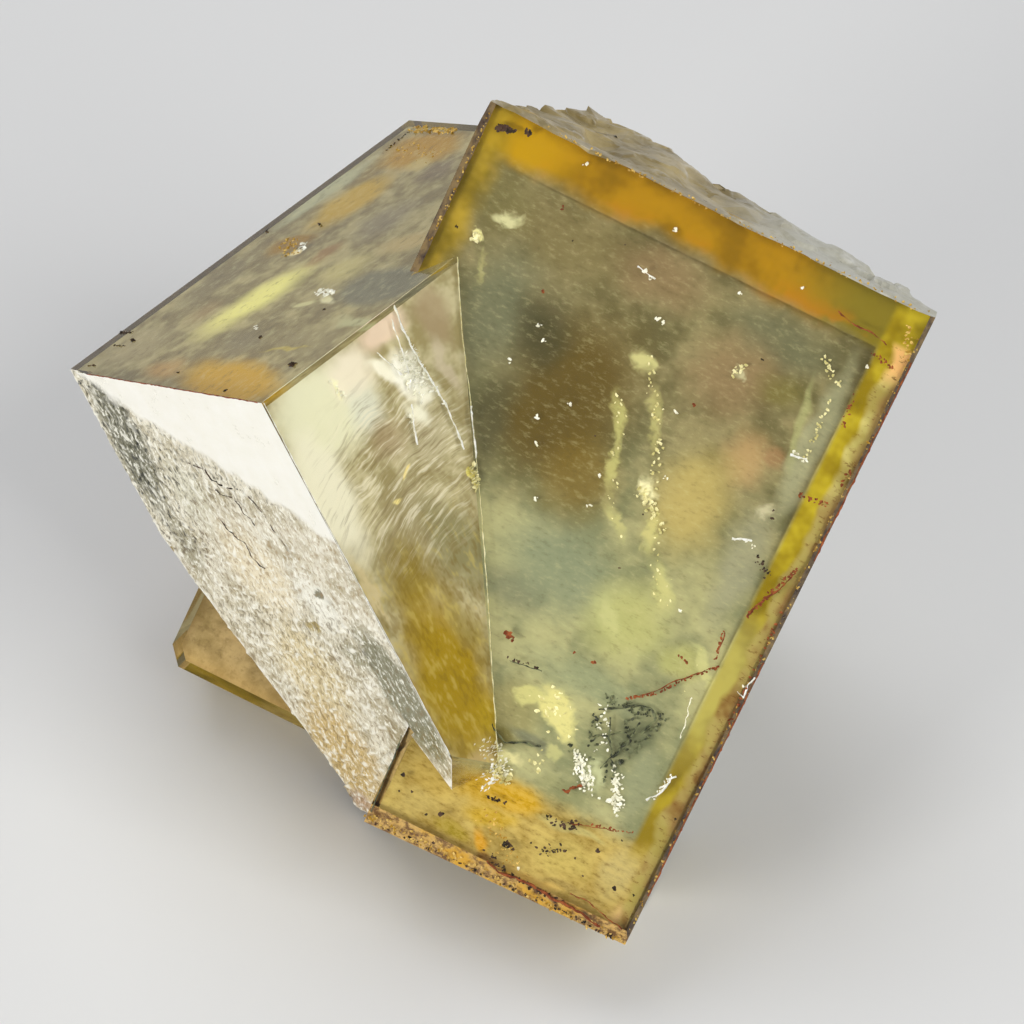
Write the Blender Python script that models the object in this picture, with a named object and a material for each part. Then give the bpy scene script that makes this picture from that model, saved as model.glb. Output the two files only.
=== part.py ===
"""Twinned fluorite crystal: two cubes grown through each other, broken off at the back
and cut flat underneath, so that the group rests on the cut.

The shapes are laid out in the large cube's own frame, in millimetres:
+X runs along its top edge, +Y up its front face and +Z out of that face,
with the face's upper left corner at the origin. The last step stands the group
on its base, with +Z up, and puts the origin under the middle of its box.
"""

import math

import bmesh
import bpy
from mathutils import Matrix, Vector, noise

MM = 0.001

# Large cube: a front face wider than it is deep, because its back broke away
FACE_WIDTH = 24.95
FACE_HEIGHT = 37.1
LEFT_FOOT_HEIGHT = 37.5
LARGE_DEPTH = 34.0
LEFT_OVERHANG = 0.25
LOWER_LEFT_SIDE = 9.8
LOWER_LEFT_TOP = -26.0
LEFT_BEVEL = (Vector((0.2, 0.0, 0.0)), Vector((-1.0, 0.0, 0.8)))
RIGHT_BEVEL = (Vector((24.7, 0.0, 0.0)), Vector((1.0, 0.0, 0.8)))
BOTTOM_BEVEL = (Vector((0.0, -36.2, 0.0)), Vector((0.0, -0.53, 0.85)))

# Small cube: its front corner stands clear of the large face, and its edges run
# away from that corner to the left, to the upper right and down
SMALL_CORNER = Vector((-3.35, -17.41, 8.33))
SMALL_LEFT = 20.0
SMALL_RIGHT = 25.1
SMALL_DOWN = 30.5

# The twin law turns one lattice half a turn about a body diagonal of the other.
# The grown crystals miss that position by a few degrees
TWIN_AXIS = Vector((-1.0, 1.0, -1.0))
MISFIT_AXIS = Vector((0.27, -0.90, 0.34))
MISFIT_TURN = math.radians(6.0)

# Third block: a corner of the large cube that shows behind the small one
REAR_BLOCK_LOW = Vector((-4.35, -37.4, -30.0))
REAR_BLOCK_HIGH = Vector((14.0, -24.0, -10.6))
REAR_BLOCK_BEVEL = 0.8
REAR_BLOCK_WORN_WAY = Vector((-1.0, -0.8, 0.0))

# Breaks, each as a point on it and the way it faces. The large cube's top broke too
TOP_WAY = Vector((0.0, 1.0, 0.0))
FLANK_BREAK = (Vector((-0.1, 0.0, -0.8)), Vector((-0.948, 0.05, -0.319)))
BACK_BREAK = (Vector((5.0, 0.0, -11.3)), Vector((0.32, 0.80, -0.947)))
RIGHT_BREAK = (Vector((24.95, -18.0, -6.5)), Vector((0.92, 0.12, -0.38)))
CORNER_CLEAVAGE = (Vector((24.95, 0.0, -4.7)), Vector((1.0, 1.0, -1.0)))

# The small cube stays behind the large one's right side and underside, and its
# lowest tip is chipped where it would come out of the large face
RIGHT_SIDE = (Vector((24.3, -18.0, -5.5)), Vector((0.95, 0.0, -0.31)))
BOTTOM_BREAK = (Vector((10.0, -37.35, 0.0)), Vector((0.06, -0.97, 0.235)))
TIP_BREAK = (Vector((12.7, -31.5, 1.95)), Vector((0.587, -0.462, 0.665)))

# The small cube's lower left edge is broken along a line of its left face,
# given along its left and down edges
SMALL_BREAK_POINT = (19.4, 12.6)
SMALL_BREAK_FACING = (0.938, 0.347)

# Growth ledge on the small cube's left face: corners of the etched, lower part,
# along the left and down edges
LEDGE_CORNERS = [
    (21.0, -1.0), (18.4, 0.4), (15.6, 3.1), (11.9, 5.0), (9.0, 5.3), (9.05, 6.2), (7.2, 6.3),
    (6.3, 7.4), (5.9, 9.6), (4.5, 12.0), (3.4, 16.5), (2.6, 21.0), (21.0, 30.0),
]
LEDGE_DROP = 0.16
LEDGE_CUTTER_HEIGHT = 0.64

# How the group stands
TURN = math.radians(-11.1)
FACE_SLOPE = math.radians(51.5)
ROLL = math.radians(-18.1)
BASE_BELOW_CORNER = 38.2

# Broken surfaces: size of the facets, height of the lumps
FACET = 1.5
LUMP_HEIGHT = 0.5
LUMP_LENGTH = 3.6
CHIP_HEIGHT = 0.22
CHIP_LENGTH = 1.3
RIM_SHARE = 0.35
EDGE_SLACK = 0.02
FACET_SLACK = 0.25
FLAT_ANGLE = math.radians(0.3)
SAME_WAY = 0.985

CUTTER_SIZE = 120.0
LOOSE = 1e-4


def twin_directions():
    """Directions of the small cube's left, right and down edges in the large cube's frame."""
    twin = Matrix.Rotation(math.pi, 3, TWIN_AXIS)
    misfit = Matrix.Rotation(MISFIT_TURN, 3, MISFIT_AXIS)
    lattice = misfit @ twin
    left = lattice @ Vector((0.0, 1.0, 0.0))
    right = lattice @ Vector((-1.0, 0.0, 0.0))
    down = lattice @ Vector((0.0, 0.0, 1.0))
    return left, right, down


def solid_from_hull(points):
    """Closed convex solid around the points."""
    mesh = bmesh.new()
    for point in points:
        mesh.verts.new(point)
    hull = bmesh.ops.convex_hull(mesh, input=list(mesh.verts))
    spare = [item for item in hull["geom_interior"] if isinstance(item, bmesh.types.BMVert)]
    bmesh.ops.delete(mesh, geom=spare, context="VERTS")
    bmesh.ops.dissolve_limit(mesh, angle_limit=LOOSE, verts=list(mesh.verts), edges=list(mesh.edges))
    bmesh.ops.recalc_face_normals(mesh, faces=list(mesh.faces))
    return mesh


def box_points(corner, edges):
    """Eight corners of the box that three edge vectors span from one corner."""
    points = []
    for first in (0.0, 1.0):
        for second in (0.0, 1.0):
            for third in (0.0, 1.0):
                points.append(corner + edges[0] * first + edges[1] * second + edges[2] * third)
    return points


def solid_from_outline(outline, lower, upper):
    """Prism of an outline in X and Y, between two heights."""
    mesh = bmesh.new()
    verts = [mesh.verts.new((x, y, lower)) for x, y in outline]
    bottom = mesh.faces.new(verts)
    raised = bmesh.ops.extrude_face_region(mesh, geom=[bottom])
    tops = [item for item in raised["geom"] if isinstance(item, bmesh.types.BMVert)]
    bmesh.ops.translate(mesh, verts=tops, vec=(0.0, 0.0, upper - lower))
    bmesh.ops.recalc_face_normals(mesh, faces=list(mesh.faces))
    return mesh


def break_off(mesh, point, facing):
    """Take away what lies beyond a plane and close the cut with one flat face."""
    everything = list(mesh.verts) + list(mesh.edges) + list(mesh.faces)
    cut = bmesh.ops.bisect_plane(
        mesh, geom=everything, dist=LOOSE, plane_co=point, plane_no=facing, clear_outer=True)
    rim = [item for item in cut["geom_cut"] if isinstance(item, bmesh.types.BMEdge)]
    if rim:
        bmesh.ops.edgenet_fill(mesh, edges=rim)
    bmesh.ops.recalc_face_normals(mesh, faces=list(mesh.faces))


def add_object(name, mesh, is_cutter=False):
    """Turn a bmesh into an object of the scene."""
    data = bpy.data.meshes.new(name)
    mesh.to_mesh(data)
    mesh.free()
    shape = bpy.data.objects.new(name, data)
    bpy.context.scene.collection.objects.link(shape)
    if is_cutter:
        shape.hide_render = True
        shape.display_type = "WIRE"
    return shape


def apply_boolean(target, tool, operation):
    """Join a tool to the target or cut it from the target, then drop the tool."""
    modifier = target.modifiers.new(operation.lower(), "BOOLEAN")
    modifier.operation = operation
    modifier.solver = "EXACT"
    modifier.object = tool
    bpy.context.view_layer.update()
    graph = bpy.context.evaluated_depsgraph_get()
    result = bpy.data.meshes.new_from_object(target.evaluated_get(graph))
    target.modifiers.clear()
    target.data = result
    bpy.data.objects.remove(tool)


def large_cube():
    """Front crystal: a stepped prism behind the large face, with its back broken away."""
    outline = [
        (-LEFT_OVERHANG, 0.0),
        (-LEFT_OVERHANG, LOWER_LEFT_TOP),
        (LOWER_LEFT_SIDE, LOWER_LEFT_TOP),
        (LOWER_LEFT_SIDE, -LEFT_FOOT_HEIGHT),
        (FACE_WIDTH, -FACE_HEIGHT),
        (FACE_WIDTH, 0.0),
    ]
    mesh = solid_from_outline(outline, -LARGE_DEPTH, 0.0)
    for bevel in (LEFT_BEVEL, RIGHT_BEVEL, BOTTOM_BEVEL):
        break_off(mesh, *bevel)
    break_off(mesh, *FLANK_BREAK)
    break_off(mesh, *BACK_BREAK)
    break_off(mesh, *CORNER_CLEAVAGE)
    break_off(mesh, *RIGHT_BREAK)
    return add_object("large_cube", mesh)


def small_cube(left, right, down):
    """Crystal that grows through the large one, seen corner on."""
    edges = (left * SMALL_LEFT, right * SMALL_RIGHT, down * SMALL_DOWN)
    mesh = solid_from_hull(box_points(SMALL_CORNER, edges))
    along_left, along_down = SMALL_BREAK_POINT
    face_left, face_down = SMALL_BREAK_FACING
    point = SMALL_CORNER + left * along_left + down * along_down
    break_off(mesh, point, left * face_left + down * face_down)
    for edge_break in (RIGHT_SIDE, BOTTOM_BREAK, TIP_BREAK):
        break_off(mesh, *edge_break)
    crystal = add_object("small_cube", mesh)
    apply_boolean(crystal, ledge_cutter(left, right, down), "DIFFERENCE")
    return crystal


def rear_block():
    """Corner of the large crystal that shows behind the small one, its low edge worn."""
    size = REAR_BLOCK_HIGH - REAR_BLOCK_LOW
    edges = (Vector((size.x, 0.0, 0.0)), Vector((0.0, size.y, 0.0)), Vector((0.0, 0.0, size.z)))
    mesh = solid_from_hull(box_points(REAR_BLOCK_LOW, edges))
    worn = Vector((REAR_BLOCK_LOW.x + REAR_BLOCK_BEVEL, REAR_BLOCK_LOW.y, 0.0))
    break_off(mesh, worn, REAR_BLOCK_WORN_WAY)
    return add_object("rear_block", mesh)


def ledge_cutter(left, right, down):
    """Thin slab over the etched part of the small cube's left face."""
    mesh = bmesh.new()
    rim = []
    for along_left, along_down in LEDGE_CORNERS:
        rim.append(mesh.verts.new(SMALL_CORNER + left * along_left + down * along_down))
    floor = mesh.faces.new(rim)
    bmesh.ops.translate(mesh, verts=rim, vec=right * LEDGE_DROP)
    raised = bmesh.ops.extrude_face_region(mesh, geom=[floor])
    tops = [item for item in raised["geom"] if isinstance(item, bmesh.types.BMVert)]
    bmesh.ops.translate(mesh, verts=tops, vec=right * -LEDGE_CUTTER_HEIGHT)
    bmesh.ops.recalc_face_normals(mesh, faces=list(mesh.faces))
    return add_object("ledge_cutter", mesh, is_cutter=True)


def standing_matrix():
    """Rotation from the large cube's frame to the standing group's."""
    turn = Matrix.Rotation(TURN, 3, "Z")
    slope = Matrix.Rotation(FACE_SLOPE, 3, "X")
    roll = Matrix.Rotation(ROLL, 3, "Z")
    return turn @ slope @ roll


def base_cutter(stand):
    """Everything lower than the base, as one large box in the large cube's frame."""
    to_frame = stand.inverted()
    half = CUTTER_SIZE / 2.0
    middle = stand @ Vector((FACE_WIDTH / 2.0, -FACE_HEIGHT / 2.0, 0.0))
    low = Vector((middle.x - half, middle.y - half, -BASE_BELOW_CORNER - CUTTER_SIZE))
    edges = [to_frame @ Vector(axis) * CUTTER_SIZE for axis in ((1, 0, 0), (0, 1, 0), (0, 0, 1))]
    return add_object("base_cutter", solid_from_hull(box_points(to_frame @ low, edges)), True)


def broken_ways(left, down):
    """Directions that the broken faces look in; they are hackly and grown faces are flat."""
    small_break = left * SMALL_BREAK_FACING[0] + down * SMALL_BREAK_FACING[1]
    breaks = [FLANK_BREAK, BACK_BREAK, CORNER_CLEAVAGE, RIGHT_BREAK]
    return [TOP_WAY, small_break.normalized()] + [way.normalized() for _, way in breaks]


def faces_towards(mesh, way):
    """Faces that look in a direction, within a few degrees."""
    return [face for face in mesh.faces if face.normal.dot(way) > SAME_WAY]


def cut_into_facets(mesh, way):
    """Cut the faces that look in a direction with two rows of planes, a facet apart."""
    side = way.orthogonal().normalized()
    for row_way in (side, way.cross(side)):
        spread = [row_way.dot(vert.co) for face in faces_towards(mesh, way) for vert in face.verts]
        if not spread:
            return
        place = min(spread) + FACET / 2.0
        while place < max(spread):
            faces = faces_towards(mesh, way)
            edges = list({edge for face in faces for edge in face.edges})
            verts = list({vert for face in faces for vert in face.verts})
            bmesh.ops.bisect_plane(
                mesh, geom=verts + edges + faces, dist=FACET_SLACK,
                plane_co=row_way * place, plane_no=row_way)
            place += FACET


def lump_at(point):
    """Height of the hackly surface at a point: broad lumps and smaller chips."""
    broad = noise.noise(point / LUMP_LENGTH)
    chips = noise.cell(point / CHIP_LENGTH) - 0.5
    return broad * LUMP_HEIGHT + chips * CHIP_HEIGHT


def roughen(mesh, faces):
    """Push the points of the broken faces in and out along the way they face."""
    broken = set(faces)
    pushes = {}
    for vert in {vert for face in faces for vert in face.verts}:
        way = sum((face.normal for face in vert.link_faces if face in broken), Vector())
        grown = [face.normal for face in vert.link_faces if face not in broken]
        if grown:
            way -= grown[0] * way.dot(grown[0])
        if len(grown) < 2 and way.length > LOOSE:
            share = RIM_SHARE if grown else 1.0
            pushes[vert] = way.normalized() * lump_at(vert.co) * share
    for vert, push in pushes.items():
        vert.co += push


def shape_breaks(crystal, left, down):
    """Give the broken faces of the joined crystals their lumps and chips."""
    mesh = bmesh.new()
    mesh.from_mesh(crystal.data)
    tidy_faces(mesh)
    facets = []
    for way in broken_ways(left, down):
        cut_into_facets(mesh, way)
    for way in broken_ways(left, down):
        facets.extend(faces_towards(mesh, way))
    roughen(mesh, facets)
    bmesh.ops.triangulate(mesh, faces=list(mesh.faces))
    mesh.to_mesh(crystal.data)
    mesh.free()


def tidy_faces(mesh):
    """Merge close points and the triangles that a join leaves in flat faces."""
    bmesh.ops.remove_doubles(mesh, verts=list(mesh.verts), dist=EDGE_SLACK)
    bmesh.ops.dissolve_degenerate(mesh, dist=EDGE_SLACK, edges=list(mesh.edges))
    bmesh.ops.dissolve_limit(
        mesh, angle_limit=FLAT_ANGLE, verts=list(mesh.verts), edges=list(mesh.edges))


def stand_up(crystal, stand):
    """Stand the group on its base, in metres, with the origin under its middle."""
    mesh = bmesh.new()
    mesh.from_mesh(crystal.data)
    tidy_faces(mesh)
    bmesh.ops.triangulate(mesh, faces=list(mesh.faces))
    bmesh.ops.rotate(mesh, verts=list(mesh.verts), matrix=stand)
    low = Vector([min(vert.co[axis] for vert in mesh.verts) for axis in range(3)])
    high = Vector([max(vert.co[axis] for vert in mesh.verts) for axis in range(3)])
    middle = (low + high) / 2.0
    origin = Vector((middle.x, middle.y, low.z))
    for vert in mesh.verts:
        vert.co = (vert.co - origin) * MM
    bmesh.ops.recalc_face_normals(mesh, faces=list(mesh.faces))
    mesh.to_mesh(crystal.data)
    mesh.free()
    print("size in mm", [round(length, 2) for length in high - low])
    print("origin in mm", [round(place, 3) for place in origin])


def fluorite_material():
    """Clear, slightly milky yellow green fluorite."""
    finish = bpy.data.materials.new("fluorite")
    finish.use_nodes = True
    shader = finish.node_tree.nodes["Principled BSDF"]
    shader.inputs["Base Color"].default_value = (0.62, 0.60, 0.36, 1.0)
    shader.inputs["Metallic"].default_value = 0.0
    shader.inputs["Roughness"].default_value = 0.12
    shader.inputs["IOR"].default_value = 1.434
    shader.inputs["Transmission Weight"].default_value = 0.7
    return finish


def build():
    """Join the crystals, cut the base, roughen the breaks and stand the group up."""
    left, right, down = twin_directions()
    stand = standing_matrix()
    crystal = large_cube()
    crystal.name = "fluorite_twin"
    crystal.data.name = "fluorite_twin"
    apply_boolean(crystal, rear_block(), "UNION")
    apply_boolean(crystal, small_cube(left, right, down), "UNION")
    shape_breaks(crystal, left, down)
    apply_boolean(crystal, base_cutter(stand), "DIFFERENCE")
    stand_up(crystal, stand)
    crystal.data.materials.clear()
    crystal.data.materials.append(fluorite_material())


for old in list(bpy.data.objects):
    bpy.data.objects.remove(old)
build()
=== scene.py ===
# %% [markdown]
# A fluorite specimen: two cubes grown through each other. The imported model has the
# shape, so it is loaded first and everything else is placed by it.

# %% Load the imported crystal
import math

import bmesh
import bpy
import numpy as np
from mathutils import Matrix, Vector, noise


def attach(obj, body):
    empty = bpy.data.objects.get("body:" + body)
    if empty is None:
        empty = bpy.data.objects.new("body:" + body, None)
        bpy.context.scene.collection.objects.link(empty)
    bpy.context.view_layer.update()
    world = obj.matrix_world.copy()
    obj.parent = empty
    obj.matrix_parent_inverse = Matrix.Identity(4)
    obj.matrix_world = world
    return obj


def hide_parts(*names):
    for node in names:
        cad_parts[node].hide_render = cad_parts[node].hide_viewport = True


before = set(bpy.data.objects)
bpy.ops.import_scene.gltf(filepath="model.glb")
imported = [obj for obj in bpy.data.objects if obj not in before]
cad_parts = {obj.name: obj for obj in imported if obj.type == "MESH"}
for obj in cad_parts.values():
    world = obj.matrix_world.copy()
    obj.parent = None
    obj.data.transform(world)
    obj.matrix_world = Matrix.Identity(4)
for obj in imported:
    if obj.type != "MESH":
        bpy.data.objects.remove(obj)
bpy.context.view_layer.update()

MM = 0.001

# %% [markdown]
# Both cubes have their own directions. The large cube's frame starts at the upper left
# corner of its front face, with X along the top edge, Y up the face and Z out of it.
# The small cube's frame starts at its free corner, with X, Y and Z along the edges that
# run left, right and down from there. Every place below is given in millimetres in one
# of these two frames, because that is how a crystal is measured face by face.

# %% The two cubes' frames
LARGE_ORIGIN = Vector((0.024, 6.363, 38.2)) * MM
STAND = (
    Matrix.Rotation(math.radians(-11.1), 3, "Z")
    @ Matrix.Rotation(math.radians(51.5), 3, "X")
    @ Matrix.Rotation(math.radians(-18.1), 3, "Z"))
TWIN = (
    Matrix.Rotation(math.radians(6.0), 3, Vector((0.27, -0.90, 0.34)))
    @ Matrix.Rotation(math.pi, 3, Vector((-1.0, 1.0, -1.0))))
SMALL_CORNER = Vector((-3.35, -17.41, 8.33))
LEFT_WAY = STAND @ TWIN @ Vector((0.0, 1.0, 0.0))
RIGHT_WAY = STAND @ TWIN @ Vector((-1.0, 0.0, 0.0))
DOWN_WAY = STAND @ TWIN @ Vector((0.0, 0.0, 1.0))
FRONT_WAY = STAND @ Vector((0.0, 0.0, 1.0))
SIDE, UP = STAND @ Vector((1.0, 0.0, 0.0)), STAND @ Vector((0.0, 1.0, 0.0))
SMALL_ORIGIN = LARGE_ORIGIN + STAND @ (SMALL_CORNER * MM)
HAND = 1.0 if LEFT_WAY.cross(RIGHT_WAY).dot(DOWN_WAY) > 0.0 else -1.0


def from_large(x, y, z):
    """Point of the specimen, in metres, from a place in the large cube's frame."""
    return LARGE_ORIGIN + STAND @ (Vector((x, y, z)) * MM)


def in_large(point):
    """Place in the large cube's frame, in millimetres."""
    return STAND.transposed() @ (point - LARGE_ORIGIN) / MM


def in_small(point):
    """Place in the small cube's frame, in millimetres."""
    offset = (point - SMALL_ORIGIN) / MM
    return Vector((offset.dot(LEFT_WAY), offset.dot(RIGHT_WAY), offset.dot(DOWN_WAY)))


print("free corner of the small cube", [round(value, 4) for value in SMALL_ORIGIN])

# %% [markdown]
# The camera looks steeply down at the large front face, from straight ahead.
# A long lens keeps the edges nearly parallel, as in a close-up of a hand specimen.

# %% Camera
sight = bpy.data.cameras.new("camera")
sight.lens = 177.0
sight.clip_start = 0.01
camera = bpy.data.objects.new("camera", sight)
camera.location = (0.0010, -0.17385, 0.22061)
camera.rotation_euler = (math.radians(40.0), 0.0, 0.0)
bpy.context.scene.collection.objects.link(camera)
bpy.context.scene.camera = camera
bpy.context.scene.view_settings.view_transform = "Standard"
print("camera", tuple(round(value, 4) for value in camera.location))

# %% [markdown]
# A crystal shows what stands round it, so the lights are large and soft. The key light
# comes from the left, low enough to whiten the etched left face. The fill from the upper
# right lights the clear faces, and the pale floor sends light up through the crystal.

# %% Floor and lights
FLOOR_HALF = 1.2
FLOOR_LEVEL = -0.0001
SPECIMEN_MIDDLE = Vector((0.0, 0.0, 0.018))


def plain_material(name, colour, roughness):
    """One plain finish, for the floor."""
    finish = bpy.data.materials.new(name)
    finish.use_nodes = True
    shader = finish.node_tree.nodes["Principled BSDF"]
    shader.inputs["Base Color"].default_value = (*colour, 1.0)
    shader.inputs["Roughness"].default_value = roughness
    return finish


def add_mesh(name, vertices, faces):
    """Mesh object from lists of points and faces."""
    data = bpy.data.meshes.new(name)
    data.from_pydata([tuple(point) for point in vertices], [], faces)
    data.update()
    made = bpy.data.objects.new(name, data)
    bpy.context.scene.collection.objects.link(made)
    return made


def add_light(name, place, size, power, colour):
    """Square soft light that faces the middle of the specimen."""
    lamp = bpy.data.lights.new(name, "AREA")
    lamp.size = size
    lamp.energy = power
    lamp.color = colour
    made = bpy.data.objects.new(name, lamp)
    made.location = place
    aim = SPECIMEN_MIDDLE - Vector(place)
    made.rotation_euler = aim.to_track_quat("-Z", "Y").to_euler()
    bpy.context.scene.collection.objects.link(made)


corners = [(x * FLOOR_HALF, y * FLOOR_HALF) for x, y in ((-1, -1), (1, -1), (1, 1), (-1, 1))]
floor = add_mesh("floor", [(x, y, FLOOR_LEVEL) for x, y in corners], [(0, 1, 2, 3)])
floor.data.materials.append(plain_material("pale_floor", (0.78, 0.78, 0.77), 0.6))
add_light("key_light", (-0.36, -0.28, 0.14), 0.16, 1.25, (1.0, 0.985, 0.95))
add_light("fill_light", (0.26, -0.20, 0.30), 0.26, 0.85, (1.0, 0.99, 0.97))
add_light("top_light", (-0.05, 0.16, 0.42), 0.24, 0.55, (0.97, 0.98, 1.0))
room = bpy.data.worlds.new("room")
room.use_nodes = True
room.node_tree.nodes["Background"].inputs["Color"].default_value = (0.92, 0.94, 1.0, 1.0)
room.node_tree.nodes["Background"].inputs["Strength"].default_value = 0.30
bpy.context.scene.world = room

# %% [markdown]
# All the finishes are built from nodes. This small helper adds a node, feeds its inputs
# and hands back its output, so that a recipe reads as one line for each step.

# %% A helper for colour recipes
class Recipe:
    """Adds nodes to one tree and wires them."""

    def __init__(self, tree):
        self.tree = tree

    def feed(self, socket, value):
        """Link an output to the socket, or set a plain value on it."""
        if isinstance(value, bpy.types.NodeSocket):
            self.tree.links.new(value, socket)
        else:
            socket.default_value = value

    def add(self, kind, inputs, **settings):
        """One node with its settings and inputs."""
        made = self.tree.nodes.new(kind)
        for name, value in settings.items():
            setattr(made, name, value)
        for name, value in inputs.items():
            self.feed(made.inputs[name], value)
        return made

    def math(self, operation, *values):
        """One step of arithmetic on numbers."""
        return self.add("ShaderNodeMath", dict(enumerate(values)), operation=operation).outputs[0]

    def times(self, *values):
        """Product of numbers."""
        product = values[0]
        for value in values[1:]:
            product = self.math("MULTIPLY", product, value)
        return product

    def plus(self, first, second):
        """Sum of two numbers."""
        return self.math("ADD", first, second)

    def vector(self, operation, *values):
        """One step of arithmetic on places."""
        return self.add("ShaderNodeVectorMath", dict(enumerate(values)), operation=operation).outputs[0]

    def rise(self, value, low, high, most=1.0):
        """Soft step: 0 at low, most at high, also where high is the smaller one."""
        inputs = {"Value": value, "From Min": low, "From Max": high, "To Max": most}
        return self.add("ShaderNodeMapRange", inputs, interpolation_type="SMOOTHSTEP").outputs[0]

    def mix(self, mask, first, second):
        """Second colour over the first one, by a mask."""
        made = self.add("ShaderNodeMix", {}, data_type="RGBA")
        self.feed(made.inputs[0], mask)
        for socket, colour in ((6, first), (7, second)):
            self.feed(made.inputs[socket], (*colour, 1.0) if isinstance(colour, tuple) else colour)
        return made.outputs[2]

    def lay(self, colour, tint, *masks):
        """A tint over a colour, by the product of some masks."""
        return self.mix(self.times(*masks), colour, tint)

    def cloud(self, place, size, detail=3.0, roughness=0.55, distortion=0.0):
        """Noise between 0 and 1 whose lumps are about size millimetres across."""
        inputs = {"Vector": place, "Scale": 1.0 / size, "Detail": detail, "Roughness": roughness}
        inputs["Distortion"] = distortion
        return self.add("ShaderNodeTexNoise", inputs).outputs["Fac"]

    def wander(self, place, size, reach):
        """Places shifted by a soft noise, so that painted edges aren't straight."""
        inputs = {"Vector": place, "Scale": 1.0 / size, "Detail": 2.0}
        shift = self.add("ShaderNodeTexNoise", inputs).outputs["Color"]
        centred = self.vector("SUBTRACT", shift, (0.5, 0.5, 0.5))
        scaled = self.vector("MULTIPLY", centred, (2.0 * reach, 2.0 * reach, 2.0 * reach))
        return self.vector("ADD", place, scaled)

    def mapped(self, place, kind, shift, turn, scale):
        """Places moved, turned and scaled by a Mapping node."""
        made = self.add("ShaderNodeMapping", {"Vector": place}, vector_type=kind)
        made.inputs["Location"].default_value = shift
        made.inputs["Rotation"].default_value = turn
        made.inputs["Scale"].default_value = scale
        return made.outputs[0]

    def length(self, place):
        """Distance of a place from zero."""
        made = self.add("ShaderNodeVectorMath", {0: place}, operation="LENGTH")
        return made.outputs["Value"]

    def flat_place(self, across, down):
        """Place on a face, from two measures of it."""
        return self.add("ShaderNodeCombineXYZ", {"X": across, "Y": down}).outputs[0]

    def measure(self, name):
        """A measure that the relief has left on the mesh."""
        settings = {"attribute_name": name, "attribute_type": "GEOMETRY"}
        return self.add("ShaderNodeAttribute", {}, **settings).outputs["Fac"]

    def group(self, tree):
        """Colour from a node group."""
        return self.add("ShaderNodeGroup", {}, node_tree=tree).outputs[0]


def colour_group(name):
    """Empty node group with one colour as its output."""
    tree = bpy.data.node_groups.new(name, "ShaderNodeTree")
    tree.interface.new_socket(name="Colour", in_out="OUTPUT", socket_type="NodeSocketColor")
    end = tree.nodes.new("NodeGroupOutput")
    return tree, end.inputs["Colour"]


print("recipe helper ready")

# %% [markdown]
# Each cube's pattern follows its own faces. A Mapping node of the texture kind turns a
# place of the specimen into millimetres in one cube's frame: it takes the cube's corner
# as zero and its edges as the three ways.

# %% Places in a cube's frame
def object_place(recipe):
    """Place on the specimen, in metres, as a node output."""
    return recipe.add("ShaderNodeTexCoord", {}).outputs["Object"]


def large_place(recipe):
    """Place in the large cube's frame, in millimetres, as a node output."""
    spot = object_place(recipe)
    return recipe.mapped(spot, "TEXTURE", LARGE_ORIGIN, STAND.to_euler(), (MM, MM, MM))


def small_place(recipe):
    """Place in the small cube's frame, in millimetres, as a node output."""
    turn = Matrix((LEFT_WAY, RIGHT_WAY, DOWN_WAY * HAND)).transposed().to_euler()
    spot = object_place(recipe)
    return recipe.mapped(spot, "TEXTURE", SMALL_ORIGIN, turn, (MM, MM, MM * HAND))


def split(recipe, place):
    """The three measures of a place."""
    made = recipe.add("ShaderNodeSeparateXYZ", {"Vector": place})
    return made.outputs[0], made.outputs[1], made.outputs[2]


print("the small cube's frame is", "right" if HAND > 0 else "left", "handed")

# %% [markdown]
# Clouds, veils and stains inside fluorite are soft patches. A patch is an oval: a Mapping
# node of the texture kind moves, turns and shrinks the oval to a unit ball, and a ball
# gradient fades it from its middle to its rim. A list of such patches makes a face's
# cloudy pattern. The places are shifted by noise first, so that no patch looks neat.

# %% Soft patches
FULL_AT = 0.8
ANY_DEPTH = 1000.0


def paint_spots(recipe, place, colour, spots):
    """Lay soft patches over a colour: across, down, radii, turn, core, strength, colour."""
    for across, down, wide, high, turn, core, strength, tint in spots:
        oval = recipe.mapped(place, "TEXTURE", (across, down, 0.0),
                             (0.0, 0.0, math.radians(-turn)), (wide, high, ANY_DEPTH))
        ball = recipe.add("ShaderNodeTexGradient", {"Vector": oval}, gradient_type="SPHERICAL")
        colour = recipe.mix(
            recipe.rise(ball.outputs["Fac"], 0.0, FULL_AT * (1.0 - core), strength), colour, tint)
    return colour


print("soft patches ready")
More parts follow.
